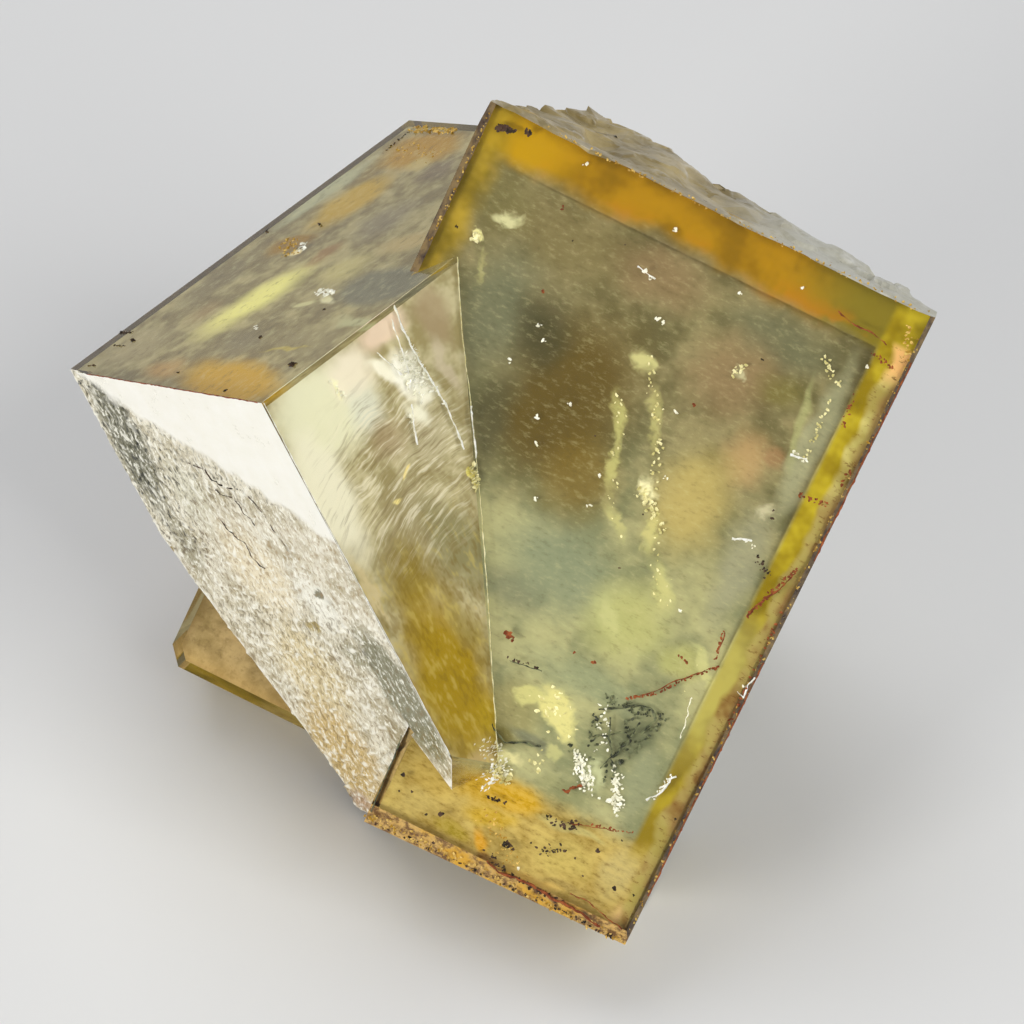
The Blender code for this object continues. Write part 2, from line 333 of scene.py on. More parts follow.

# %% [markdown]
# The large cube's colours come first. Its front face has a cloudy grey green heart, with
# darker and paler clouds that were read off the photograph. Two dark patches beside the
# small cube are painted shade, not clouds. Each line below is one patch: where it is on
# the face, its two radii, its turn in degrees, how much of it is a full core, its strength
# and its colour.

# %% Clouds of the heart, with two patches of painted shade
CORE_SPOTS = [
    (6.5, 4.6, 6.0, 3.2, 0, 0.0, 0.7, (0.19, 0.155, 0.065)),
    (2.6, 4.4, 2.4, 2.6, 0, 0.0, 0.75, (0.17, 0.15, 0.06)),
    (11.5, 4.4, 3.6, 2.2, 10, 0.0, 0.75, (0.24, 0.165, 0.085)),
    (18.5, 4.6, 4.4, 1.9, 0, 0.1, 0.8, (0.14, 0.145, 0.085)),
    (4.5, 9.6, 3.0, 5.0, 0, 0.0, 0.8, (0.15, 0.16, 0.10)),
    # Painted shade: this dark brown patch is the shadow in the heart beside the small cube, not a
    # cloud.
    (9.8, 12.4, 4.4, 7.0, -14, 0.2, 0.95, (0.11, 0.075, 0.014)),
    (7.2, 9.6, 2.3, 3.4, 10, 0.0, 0.85, (0.06, 0.054, 0.022)),
    # Painted shade: this dark stripe next to the seam is shadow beside the small cube, not a cloud.
    (6.8, 15.0, 1.7, 4.2, 10, 0.0, 0.8, (0.085, 0.078, 0.036)),
    (12.2, 15.6, 2.8, 3.2, 0, 0.1, 0.85, (0.17, 0.115, 0.02)),
    (17.0, 7.4, 3.6, 3.0, 20, 0.0, 0.8, (0.27, 0.19, 0.10)),
    (19.6, 7.0, 2.0, 1.3, 0, 0.0, 0.7, (0.17, 0.15, 0.04)),
    (19.4, 10.9, 1.9, 2.1, 0, 0.0, 0.8, (0.46, 0.31, 0.15)),
    (20.9, 10.2, 1.0, 0.8, 0, 0.2, 0.7, (0.34, 0.20, 0.10)),
    (18.0, 14.2, 2.8, 4.0, 0, 0.1, 0.85, (0.46, 0.37, 0.135)),
    (22.2, 8.6, 0.9, 6.0, 0, 0.2, 0.75, (0.35, 0.36, 0.24)),
    (21.3, 8.0, 0.35, 3.4, 12, 0.0, 0.6, (0.40, 0.42, 0.20)),
    (21.6, 16.0, 1.5, 4.6, 0, 0.1, 0.75, (0.31, 0.31, 0.22)),
    (13.4, 20.4, 4.6, 3.2, -10, 0.1, 0.85, (0.23, 0.26, 0.17)),
    (17.6, 21.4, 3.0, 3.0, 0, 0.1, 0.85, (0.43, 0.43, 0.18)),
    (11.6, 22.4, 2.4, 1.6, 0, 0.0, 0.7, (0.19, 0.20, 0.13)),
    (17.5, 25.2, 5.0, 1.4, 0, 0.1, 0.75, (0.28, 0.31, 0.19)),
    (21.0, 22.0, 1.6, 1.4, 0, 0.1, 0.7, (0.42, 0.42, 0.16)),
    (14.4, 28.4, 2.2, 2.4, 0, 0.1, 0.75, (0.30, 0.27, 0.12)),
    (14.2, 29.8, 0.9, 1.0, 0, 0.2, 0.85, (0.14, 0.12, 0.03)),
    (15.8, 29.4, 1.8, 0.45, -15, 0.2, 0.75, (0.16, 0.17, 0.12)),
    (20.6, 26.8, 2.0, 1.9, 0, 0.1, 0.8, (0.10, 0.12, 0.07)),
    (22.0, 29.0, 1.1, 2.9, 0, 0.2, 0.8, (0.27, 0.29, 0.18)),
    (18.6, 31.0, 2.2, 0.9, 0, 0.2, 0.7, (0.25, 0.26, 0.13)),
]
print("clouds of the heart", len(CORE_SPOTS))

# %% [markdown]
# Over the clouds lie pale veils, which are smaller and have ragged edges. The foot of the
# face is a zone of its own, in mustard and amber.

# %% Veils and foot
VEIL_SPOTS = [
    (3.3, 5.1, 1.1, 0.5, 25, 0.1, 0.85, (0.66, 0.65, 0.38)),
    (2.1, 6.7, 0.34, 0.4, 0, 0.4, 0.95, (0.84, 0.80, 0.40)),
    (3.0, 8.0, 0.3, 1.4, 10, 0.0, 0.5, (0.46, 0.44, 0.19)),
    (12.6, 8.7, 0.55, 0.9, 50, 0.0, 0.85, (0.62, 0.60, 0.28)),
    (14.4, 11.2, 0.42, 2.6, 28, 0.0, 0.55, (0.60, 0.57, 0.24)),
    (15.7, 14.7, 0.7, 0.9, 20, 0.1, 0.9, (0.90, 0.87, 0.56)),
    (16.9, 16.6, 0.5, 1.6, 20, 0.0, 0.6, (0.68, 0.64, 0.27)),
    (12.7, 11.9, 0.5, 1.7, 25, 0.0, 0.6, (0.64, 0.62, 0.24)),
    (13.5, 14.2, 0.5, 2.2, 15, 0.0, 0.62, (0.62, 0.60, 0.24)),
    (14.8, 16.9, 0.5, 1.4, 45, 0.0, 0.7, (0.56, 0.53, 0.23)),
    (18.4, 18.8, 0.7, 1.7, 35, 0.0, 0.7, (0.60, 0.58, 0.25)),
    (16.6, 21.6, 0.8, 1.8, 50, 0.0, 0.55, (0.54, 0.55, 0.27)),
    (14.9, 27.3, 1.0, 0.7, 20, 0.3, 0.85, (0.58, 0.56, 0.24)),
    (16.6, 27.5, 0.95, 2.1, 50, 0.45, 0.97, (0.66, 0.62, 0.27)),
    (17.0, 29.6, 0.8, 0.5, 20, 0.2, 0.8, (0.50, 0.49, 0.23)),
    (15.0, 30.9, 1.3, 0.5, 10, 0.1, 0.85, (0.72, 0.68, 0.36)),
    (19.6, 29.3, 0.8, 1.1, 20, 0.1, 0.7, (0.56, 0.59, 0.36)),
    (21.5, 13.0, 0.6, 0.7, 0, 0.0, 0.7, (0.60, 0.56, 0.40)),
    (17.2, 7.0, 0.3, 0.6, 30, 0.1, 0.75, (0.60, 0.58, 0.38)),
    (22.2, 21.8, 0.4, 1.7, 40, 0.0, 0.7, (0.60, 0.60, 0.28)),
]
FOOT_SPOTS = [
    (12.4, 33.2, 2.6, 1.5, 0, 0.1, 0.8, (0.46, 0.33, 0.075)),
    (14.6, 32.6, 1.8, 1.5, 0, 0.2, 0.9, (0.47, 0.29, 0.008)),
    (12.0, 35.0, 1.6, 1.2, 0, 0.1, 0.8, (0.40, 0.31, 0.10)),
    (16.6, 32.4, 1.9, 1.2, 10, 0.2, 0.9, (0.52, 0.31, 0.003)),
    (15.8, 34.0, 1.9, 0.8, 10, 0.2, 0.85, (0.50, 0.33, 0.012)),
    (14.2, 35.6, 1.3, 0.7, 0, 0.3, 0.85, (0.29, 0.22, 0.012)),
    (15.9, 35.5, 0.5, 1.1, 30, 0.2, 0.9, (0.58, 0.29, 0.008)),
    (16.6, 36.4, 0.9, 0.4, 0, 0.3, 0.9, (0.17, 0.065, 0.008)),
    (20.2, 34.2, 2.4, 1.5, 0, 0.1, 0.85, (0.46, 0.37, 0.11)),
    (23.0, 33.6, 1.3, 2.2, 0, 0.1, 0.85, (0.42, 0.35, 0.15)),
    (21.2, 35.8, 2.8, 0.45, 0, 0.2, 0.7, (0.24, 0.17, 0.05)),
    (19.0, 36.2, 2.4, 0.5, 0, 0.1, 0.7, (0.56, 0.36, 0.09)),
    (24.2, 35.8, 1.0, 1.2, 0, 0.1, 0.8, (0.50, 0.31, 0.16)),
    (19.8, 32.6, 2.4, 0.35, 5, 0.3, 0.6, (0.46, 0.44, 0.20)),
]
print("veils", len(VEIL_SPOTS), "patches of the foot", len(FOOT_SPOTS))

# %% [markdown]
# The heart starts as two tones, darker above and greener below, which meet half way down.
# A soft noise called haze makes both uneven. The clouds, the veils and a fine grain are
# laid over them, one after the other. Distances are shifted by noise, so that no zone has
# a straight rim.

# %% Heart of the large cube
HAZE = (0.36, 0.64)
UPPER_TO_LOWER = (9.0, 21.0)

large_tree, large_out = colour_group("large_cube_colour")
zone = Recipe(large_tree)
place = large_place(zone)
soft = zone.wander(place, 2.2, 0.7)
x, y, _ = split(zone, soft)
depth = zone.times(y, -1.0)
on_face = zone.flat_place(x, depth)
exact_x, exact_y, exact_z = split(zone, place)
down = zone.times(exact_y, -1.0)
haze = zone.cloud(place, 3.0, 3.0, 0.62)
strong_haze = zone.rise(haze, *HAZE)
fine = zone.cloud(zone.vector("MULTIPLY", place, (0.75, 1.6, 1.0)), 0.42, 3.0, 0.7)
upper = zone.mix(strong_haze, (0.13, 0.115, 0.05), (0.26, 0.225, 0.115))
lower = zone.mix(strong_haze, (0.22, 0.235, 0.13), (0.40, 0.39, 0.21))
tone = zone.mix(zone.rise(depth, *UPPER_TO_LOWER), upper, lower)
tone = paint_spots(zone, on_face, tone, CORE_SPOTS)
tone = paint_spots(zone, zone.wander(on_face, 0.5, 0.42), tone, VEIL_SPOTS)
tone = zone.lay(tone, (0.60, 0.57, 0.32), zone.rise(fine, 0.50, 0.75), 0.20)
tone = zone.lay(tone, (0.07, 0.06, 0.025), zone.rise(fine, 0.48, 0.25), 0.28)
print("heart", len(large_tree.nodes), "nodes")

# %% [markdown]
# Growth zones frame the heart along the edges of the face: the foot, which is lower at the
# left, an amber band at the top, an olive one at the left, and a yellow strip at the
# right. Each zone is a colour with its own haze, and its mask is a soft step of the
# distance to an edge.

# %% Growth zones of the large cube
FOOT_LINE = 31.3
FOOT_RISE = -1.4
AMBER_WIDTH = 2.3
AMBER_WIDENING = 0.5
STRIP_RIM = (22.8, 23.2)

foot = zone.mix(strong_haze, (0.30, 0.21, 0.045), (0.48, 0.37, 0.115))
foot = paint_spots(zone, on_face, foot, FOOT_SPOTS)
foot = zone.lay(foot, (0.80, 0.62, 0.22), zone.rise(fine, 0.40, 0.62), 0.2)
foot = zone.lay(foot, (0.16, 0.085, 0.012), zone.rise(fine, 0.44, 0.30), 0.5)
foot_line = zone.plus(FOOT_LINE, zone.times(zone.rise(exact_x, 14.0, 11.0), FOOT_RISE))
below = zone.math("SUBTRACT", depth, foot_line)
tone = zone.mix(zone.rise(below, -0.2, 1.1), tone, foot)
amber = zone.mix(strong_haze, (0.23, 0.125, 0.0006), (0.38, 0.205, 0.001))
amber = zone.mix(zone.rise(exact_x, 16.5, 21.5), amber, (0.205, 0.16, 0.012))
amber = zone.mix(zone.rise(exact_x, 6.5, 2.5), amber, (0.46, 0.27, 0.001))
rusty = zone.rise(haze, 0.52, 0.64)
amber = zone.lay(amber, (0.44, 0.17, 0.004), rusty, zone.rise(depth, 1.4, 2.4), 0.6)
amber_edge = zone.plus(AMBER_WIDTH, zone.times(zone.rise(exact_x, 9.0, 22.0), AMBER_WIDENING))
above = zone.math("SUBTRACT", amber_edge, depth)
tone = zone.lay(tone, amber, zone.rise(above, -0.7, 0.5), 0.97)
olive = zone.mix(strong_haze, (0.20, 0.14, 0.006), (0.42, 0.29, 0.02))
tone = zone.lay(tone, olive, zone.rise(x, 2.1, 0.8), 0.9)
strip = zone.mix(strong_haze, (0.24, 0.17, 0.002), (0.50, 0.40, 0.02))
pale_strip = zone.mix(strong_haze, (0.28, 0.24, 0.06), (0.42, 0.37, 0.09))
strip = zone.lay(strip, pale_strip, zone.rise(depth, 17.0, 20.0), zone.rise(depth, 29.0, 24.0))
strip = zone.lay(strip, (0.24, 0.17, 0.02), zone.rise(depth, 24.0, 28.0), 0.4)
strip = zone.mix(zone.rise(depth, 31.0, 33.5), strip, foot)
tone = zone.mix(zone.rise(exact_x, *STRIP_RIM), tone, strip)
print("heart and zones", len(large_tree.nodes), "nodes")

# %% [markdown]
# The large cube's right edge is cream, with an orange upper end and rusty grains. It turns
# brown towards the foot, but only near the front.

# %% Right edge of the large cube
cream = zone.mix(strong_haze, (0.34, 0.28, 0.075), (0.60, 0.54, 0.20))
brown = zone.times(zone.rise(down, 9.0, 13.0), zone.rise(haze, 0.40, 0.62))
cream = zone.lay(cream, (0.22, 0.12, 0.03), brown, zone.rise(exact_z, -3.0, -0.6))
cream = zone.mix(zone.rise(down, 4.6, 3.2), cream, (0.80, 0.48, 0.19))
cream = zone.lay(cream, (0.15, 0.065, 0.012), zone.rise(fine, 0.46, 0.30), 0.8)
cream = zone.lay(cream, (0.26, 0.12, 0.05), zone.rise(x, 24.3, 24.9), 0.6)
below_corner = zone.rise(down, 1.9, 2.4)
tone = zone.lay(tone, cream, zone.rise(x, 23.7, 24.1), below_corner)
zone.feed(large_out, tone)
print("large cube colour", len(large_tree.nodes), "nodes")

# %% [markdown]
# The small cube shows three faces. Its top is olive and tan with paler veils and amber
# patches. It is made as the heart was: haze, clouds, then fine streaks, pale and dark.

# %% The small cube's top face
TOP_SPOTS = [
    (12.0, 1.4, 2.4, 1.4, 0, 0.0, 0.8, (0.50, 0.30, 0.09)),
    (5.2, 1.3, 6.4, 2.3, -6, 0.3, 0.97, (0.60, 0.36, 0.003)),
    (17.2, 3.0, 3.4, 2.6, 0, 0.1, 0.8, (0.39, 0.33, 0.18)),
    (3.4, 5.6, 3.8, 1.9, 0, 0.1, 0.8, (0.31, 0.26, 0.13)),
    (8.6, 4.6, 3.0, 1.4, 0, 0.1, 0.8, (0.24, 0.20, 0.11)),
    (1.4, 7.4, 2.8, 0.7, 0, 0.1, 0.8, (0.52, 0.52, 0.30)),
    (12.2, 8.0, 2.1, 4.8, -12, 0.1, 0.97, (0.86, 0.83, 0.30)),
    (15.4, 6.4, 1.4, 1.6, 0, 0.0, 0.7, (0.33, 0.23, 0.10)),
    (18.0, 9.4, 2.0, 4.0, 0, 0.1, 0.8, (0.21, 0.17, 0.085)),
    (3.2, 10.6, 3.8, 2.3, 5, 0.5, 0.95, (0.19, 0.18, 0.12)),
    (8.2, 11.4, 2.4, 1.9, 20, 0.1, 0.9, (0.52, 0.46, 0.20)),
    (5.6, 14.6, 3.4, 1.4, 20, 0.1, 0.85, (0.50, 0.39, 0.17)),
    (10.4, 16.0, 2.6, 2.8, 20, 0.1, 0.8, (0.27, 0.23, 0.15)),
    (11.6, 12.6, 1.0, 1.6, 0, 0.1, 0.8, (0.30, 0.16, 0.05)),
    (15.9, 13.2, 2.2, 1.3, 20, 0.3, 0.95, (0.34, 0.19, 0.004)),
    (15.6, 17.4, 2.4, 3.6, 0, 0.2, 0.92, (0.54, 0.36, 0.03)),
    (19.0, 18.0, 1.2, 5.0, 0, 0.2, 0.9, (0.46, 0.47, 0.31)),
    (17.4, 20.6, 0.8, 2.6, 0, 0.1, 0.8, (0.24, 0.17, 0.04)),
    (11.6, 20.8, 1.8, 1.6, 0, 0.1, 0.8, (0.20, 0.15, 0.09)),
    (15.6, 22.6, 3.8, 2.4, 0, 0.4, 0.97, (0.44, 0.25, 0.001)),
    (14.0, 21.4, 1.4, 0.9, 0, 0.2, 0.8, (0.56, 0.47, 0.20)),
    (6.4, 9.0, 1.3, 0.42, -10, 0.2, 0.9, (0.80, 0.77, 0.50)),
    (7.6, 8.3, 0.9, 0.3, 30, 0.3, 0.8, (0.66, 0.64, 0.34)),
    (4.2, 4.6, 2.2, 0.22, 18, 0.1, 0.7, (0.56, 0.46, 0.09)),
    (14.2, 12.4, 0.5, 0.4, 30, 0.4, 1.0, (0.95, 0.84, 0.50)),
]

top_tree, top_out = colour_group("small_top_colour")
olive_face = Recipe(top_tree)
place = small_place(olive_face)
left, right, _ = split(olive_face, olive_face.wander(place, 1.8, 0.65))
haze = olive_face.cloud(place, 2.2, 3.0, 0.65)
tone = olive_face.mix(olive_face.rise(haze, *HAZE), (0.23, 0.185, 0.08), (0.44, 0.38, 0.19))
tone = paint_spots(olive_face, olive_face.flat_place(left, right), tone, TOP_SPOTS)
streak_place = olive_face.vector("MULTIPLY", place, (1.0, 0.55, 1.0))
streaks = olive_face.cloud(streak_place, 0.5, 3.0, 0.7)
tone = olive_face.lay(tone, (0.66, 0.62, 0.36), olive_face.rise(streaks, 0.50, 0.72), 0.30)
tone = olive_face.lay(tone, (0.10, 0.07, 0.025), olive_face.rise(streaks, 0.46, 0.30), 0.36)
olive_face.feed(top_out, tone)
print("small cube's top", len(top_tree.nodes), "nodes")

# %% [markdown]
# The small cube's right face is pale near the free corner and mustard yellow below. Fine
# curved growth lines cross it like feathers. They are a noise that is squeezed along the
# distance from a far centre, which gives arcs, and they fade away from one spot.

# %% The small cube's right face
RIGHT_SPOTS = [
    (2.8, 2.6, 3.6, 3.6, 0, 0.3, 0.95, (0.80, 0.80, 0.62)),
    (1.0, 6.4, 1.9, 5.0, 0, 0.3, 0.95, (0.86, 0.84, 0.70)),
    (5.2, 1.8, 1.9, 1.9, 0, 0.2, 0.95, (0.86, 0.80, 0.68)),
    (5.0, 3.8, 1.7, 1.8, 0, 0.0, 0.85, (0.72, 0.74, 0.66)),
    (8.0, 0.9, 2.2, 1.2, 0, 0.2, 0.9, (0.82, 0.66, 0.54)),
    (10.9, 2.0, 1.3, 2.8, 0, 0.1, 0.8, (0.40, 0.31, 0.19)),
    (7.4, 7.0, 2.2, 2.2, 0, 0.0, 0.8, (0.50, 0.45, 0.30)),
    (5.4, 5.8, 1.5, 1.7, 0, 0.0, 0.7, (0.40, 0.31, 0.19)),
    (4.4, 10.0, 2.4, 2.8, 0, 0.1, 0.8, (0.36, 0.31, 0.17)),
    (6.2, 13.0, 1.8, 4.4, 10, 0.1, 0.85, (0.27, 0.25, 0.12)),
    (2.8, 13.0, 2.0, 3.4, -20, 0.0, 0.85, (0.26, 0.19, 0.02)),
    (2.2, 18.8, 3.4, 7.4, -8, 0.15, 0.98, (0.38, 0.255, 0.003)),
    (3.4, 22.4, 1.6, 2.6, 0, 0.1, 0.8, (0.44, 0.31, 0.006)),
    (4.4, 17.0, 1.0, 3.4, 8, 0.0, 0.6, (0.30, 0.24, 0.06)),
    (1.2, 23.6, 1.6, 0.9, 0, 0.2, 0.8, (0.50, 0.38, 0.18)),
    (0.5, 12.0, 0.5, 3.0, 0, 0.2, 0.8, (0.68, 0.58, 0.34)),
    (10.2, 4.6, 0.5, 2.6, -2, 0.1, 0.6, (0.66, 0.58, 0.46)),
    (8.8, 10.5, 0.35, 0.7, -10, 0.6, 1.0, (0.86, 0.78, 0.22)),
    (5.4, 7.9, 0.5, 0.18, 20, 0.2, 0.9, (0.90, 0.76, 0.30)),
    (4.4, 9.0, 0.4, 0.16, 0, 0.2, 0.9, (0.92, 0.80, 0.34)),
]
WHITE_SPOTS = [
    (8.1, 3.7, 1.2, 1.7, 15, 0.35, 1.0, (1.0, 1.0, 0.96)),
    (8.4, 5.2, 0.9, 0.8, 0, 0.1, 0.9, (1.0, 1.0, 0.92)),
    (7.6, 5.7, 0.6, 1.2, 30, 0.1, 0.9, (0.98, 0.98, 0.86)),
    (6.9, 2.6, 0.45, 1.2, 40, 0.2, 0.9, (0.96, 0.95, 0.85)),
    (4.1, 2.0, 0.25, 0.8, 0, 0.2, 0.9, (0.95, 0.94, 0.68)),
]
ARC_CENTRE = (8.0, 21.0, 0.0)
FEATHER_SPOT = (5.4, 7.6, 0.0)
HAIRS_PER_MM = 4.4
HAIR_STRETCH = 0.5

right_tree, right_out = colour_group("small_right_colour")
pale_face = Recipe(right_tree)
place = small_place(pale_face)
_, right, down = split(pale_face, pale_face.wander(place, 1.4, 0.6))
on_face = pale_face.flat_place(right, down)
haze = pale_face.cloud(place, 1.8, 3.0, 0.65)
tone = pale_face.mix(pale_face.rise(haze, *HAZE), (0.34, 0.29, 0.14), (0.58, 0.53, 0.34))
tone = paint_spots(pale_face, on_face, tone, RIGHT_SPOTS)
mottle = pale_face.cloud(pale_face.vector("MULTIPLY", place, (1.0, 1.5, 0.6)), 0.8, 2.0, 0.7)
deeper = pale_face.times(pale_face.rise(down, 9.0, 14.0), 0.42)
tone = pale_face.lay(tone, (0.20, 0.13, 0.006), pale_face.rise(mottle, 0.50, 0.36), deeper)
tone = pale_face.lay(tone, (0.62, 0.50, 0.14), pale_face.rise(mottle, 0.52, 0.68), deeper)
calm_right, calm_down = split(pale_face, pale_face.wander(place, 2.6, 0.5))[1:]
calm_place = pale_face.flat_place(calm_right, calm_down)
ring = pale_face.length(pale_face.vector("SUBTRACT", calm_place, ARC_CENTRE))
hair_place = pale_face.flat_place(
    pale_face.times(ring, HAIRS_PER_MM), pale_face.times(calm_right, HAIR_STRETCH))
hair = pale_face.cloud(hair_place, 1.0, 3.0, 0.6)
from_feathers = pale_face.vector("SUBTRACT", on_face, FEATHER_SPOT)
feathers = pale_face.rise(pale_face.length(from_feathers), 6.4, 2.6)
tone = pale_face.lay(tone, (0.88, 0.84, 0.70), pale_face.rise(hair, 0.50, 0.66), feathers, 0.62)
tone = pale_face.lay(tone, (0.22, 0.165, 0.08), pale_face.rise(hair, 0.48, 0.34), feathers, 0.55)
tone = paint_spots(pale_face, on_face, tone, WHITE_SPOTS)
pale_face.feed(right_out, tone)
print("small cube's right face", len(right_tree.nodes), "nodes")

# %% [markdown]
# Fluorite of this kind is clear only in a thin outer skin: the clouds and colour zones
# lie just below it. So the crystal is made as two shells. The outer one is clear, with
# fluorite's low refractive index, a little blue taken out on the way, and faint tinted
# smears on its skin. It lets the lamps' light through as a shadow, because light that
# bends through glass is slow to find a lamp.

# %% Clear outer finish
FLUORITE_IOR = 1.434


def new_finish(name):
    """Material, its Principled shader and a recipe for its nodes."""
    finish = bpy.data.materials.new(name)
    finish.use_nodes = True
    shader = finish.node_tree.nodes["Principled BSDF"]
    return finish, shader, Recipe(finish.node_tree)


def set_bump(recipe, shader, height, strength, distance):
    """Fine unevenness of a finish, with its depth in metres."""
    inputs = {"Height": height, "Strength": strength, "Distance": distance}
    recipe.feed(shader.inputs["Normal"], recipe.add("ShaderNodeBump", inputs).outputs[0])


def set_roughness(recipe, shader, value, low, high):
    """Roughness between two values, by a noise."""
    inputs = {"Value": value, "From Min": 0.3, "From Max": 0.7, "To Min": low, "To Max": high}
    recipe.feed(shader.inputs["Roughness"], recipe.add("ShaderNodeMapRange", inputs).outputs[0])


clear, shader, recipe = new_finish("clear_fluorite")
smears = recipe.cloud(large_place(recipe), 1.1, 2.0, 0.65)
tone = recipe.mix(smears, (1.0, 0.99, 0.93), (0.98, 0.96, 0.86))
recipe.feed(shader.inputs["Base Color"], tone)
shader.inputs["Roughness"].default_value = 0.05
shader.inputs["IOR"].default_value = FLUORITE_IOR
shader.inputs["Transmission Weight"].default_value = 1.0
lamps_through = recipe.add("ShaderNodeBsdfTransparent", {})
lamps_through.inputs["Color"].default_value = (0.95, 0.95, 0.92, 1.0)
ray = recipe.add("ShaderNodeLightPath", {})
either = recipe.add("ShaderNodeMixShader", {0: ray.outputs["Is Shadow Ray"]})
recipe.feed(either.inputs[1], shader.outputs[0])
recipe.feed(either.inputs[2], lamps_through.outputs[0])
absorbed = recipe.add("ShaderNodeVolumeAbsorption", {})
absorbed.inputs["Color"].default_value = (0.94, 0.89, 0.62, 1.0)
absorbed.inputs["Density"].default_value = 110.0
output = clear.node_tree.nodes["Material Output"]
recipe.feed(output.inputs["Surface"], either.outputs[0])
recipe.feed(output.inputs["Volume"], absorbed.outputs[0])
print("clear finish", len(clear.node_tree.nodes), "nodes")

# %% [markdown]
# The inner shell carries the clouds and zones. It has one finish for each kind of face
# above it, and each takes its colour from that face's recipe. They are dull, with almost
# no gloss of their own, because the clear shell above them already has the gloss.

# %% Cloudy inner finishes
def cloudy_finish(name, tree):
    """Dull inner finish that takes its colour from a group."""
    finish, shader, recipe = new_finish(name)
    recipe.feed(shader.inputs["Base Color"], recipe.group(tree))
    set_roughness(recipe, shader, recipe.cloud(large_place(recipe), 0.9, 1.0, 0.6), 0.45, 0.8)
    shader.inputs["Specular IOR Level"].default_value = 0.05
    return finish


block_tree, block_out = colour_group("rear_block_colour")
rear = Recipe(block_tree)
place = large_place(rear)
x, y, _ = split(rear, place)
haze = rear.rise(rear.cloud(place, 2.2, 5.0, 0.65), *HAZE)
grain = rear.rise(rear.cloud(place, 0.5, 3.0, 0.7), 0.5, 0.34)
tone = rear.mix(haze, (0.31, 0.225, 0.09), (0.55, 0.41, 0.20))
tone = rear.lay(tone, (0.15, 0.10, 0.035), grain, 0.35)
tone = rear.lay(tone, (0.46, 0.29, 0.08), rear.rise(y, -35.5, -37.5), 0.6)
tone = rear.lay(tone, (0.16, 0.10, 0.03), rear.rise(x, -3.2, -4.2), 0.7)
rear.feed(block_out, tone)

cloudy_large = cloudy_finish("cloudy_large_cube", large_tree)
cloudy_top = cloudy_finish("cloudy_small_top", top_tree)
cloudy_right = cloudy_finish("cloudy_small_right", right_tree)
cloudy_block = cloudy_finish("cloudy_rear_block", block_tree)
print("cloudy finishes", cloudy_large.name, cloudy_top.name, cloudy_right.name, cloudy_block.name)

# %% [markdown]
# The small cube's left face is etched: a smooth frosty upper part, a growth ledge, and
# below it a skin of fine pits and ridges. The smooth part is near white, partly as the
# frost's own colour and partly as a painted highlight. The relief is real shape, and it
# leaves a measure called etch on the mesh: low in the pits. Here the colour reads it, so
# that the pits are darker and the ridges white.

# %% Etched face finish
SCRATCH_SLANT = 12.0
SCRATCH_SCALE = (4.2, 1.0, 1.9)
ETCH_SPOTS = [
    (17.6, 4.0, 2.8, 6.6, 10, 0.3, 0.95, (0.15, 0.145, 0.085)),
    (13.8, 7.4, 2.4, 3.4, 0, 0.1, 0.8, (0.62, 0.59, 0.44)),
    (17.6, 11.0, 1.8, 3.2, 0, 0.1, 0.8, (0.30, 0.27, 0.16)),
    (10.8, 12.0, 4.0, 4.0, 0, 0.2, 0.85, (0.82, 0.72, 0.50)),
    (5.6, 13.2, 2.6, 2.4, 0, 0.2, 0.9, (0.86, 0.84, 0.72)),
    (10.8, 18.5, 4.4, 4.4, 0, 0.2, 0.9, (0.70, 0.58, 0.32)),
    (12.0, 24.0, 4.4, 4.6, 0, 0.3, 0.95, (0.60, 0.43, 0.16)),
    (12.9, 27.4, 1.7, 1.4, 0, 0.1, 0.8, (0.50, 0.32, 0.20)),
    (1.8, 18.6, 2.6, 5.4, -6, 0.45, 0.95, (0.20, 0.195, 0.11)),
    (4.6, 16.6, 2.2, 1.2, 20, 0.1, 0.8, (0.27, 0.25, 0.14)),
    (5.0, 21.6, 1.8, 3.4, 0, 0.1, 0.7, (0.34, 0.28, 0.14)),
    (5.2, 12.6, 0.8, 0.5, 0, 0.4, 0.9, (0.16, 0.15, 0.08)),
    (7.8, 15.1, 0.7, 0.5, 0, 0.4, 0.9, (0.42, 0.32, 0.10)),
]

etched, shader, recipe = new_finish("etched_fluorite")
place = small_place(recipe)
left, _, down = split(recipe, recipe.wander(place, 2.0, 0.8))
haze = recipe.cloud(place, 1.6, 5.0, 0.65)
# Near white, partly as the frost's own colour and partly as a painted highlight.
frost_and_painted_highlight = recipe.mix(haze, (0.86, 0.83, 0.70), (0.97, 0.96, 0.91))
tone = recipe.mix(recipe.rise(haze, 0.38, 0.62), (0.52, 0.46, 0.31), (0.78, 0.73, 0.58))
tone = paint_spots(recipe, recipe.flat_place(left, down), tone, ETCH_SPOTS)
rough_share = recipe.measure("rough")
etch = recipe.measure("etch")
slanted = recipe.mapped(
    place, "POINT", (0.0, 0.0, 0.0), (0.0, math.radians(SCRATCH_SLANT), 0.0), SCRATCH_SCALE)
scratch = recipe.cloud(slanted, 1.0, 5.0, 0.72)
pits = recipe.math("MAXIMUM", recipe.rise(etch, 0.42, 0.16), recipe.rise(scratch, 0.475, 0.40))
ridges = recipe.math("MAXIMUM", recipe.rise(etch, 0.62, 0.86), recipe.rise(scratch, 0.53, 0.60))
pit_tone = recipe.mix(recipe.rise(down, 12.0, 20.0), (0.06, 0.055, 0.032), (0.22, 0.145, 0.05))
middle_band = recipe.times(recipe.rise(down, 6.0, 9.0), recipe.rise(down, 16.0, 12.0))
pit_tone = recipe.mix(middle_band, pit_tone, (0.36, 0.25, 0.12))
worn_left = recipe.rise(left, 12.5, 16.5)
upper_left = recipe.times(worn_left, recipe.rise(down, 15.0, 9.0))
pit_tone = recipe.mix(upper_left, pit_tone, (0.02, 0.02, 0.012))
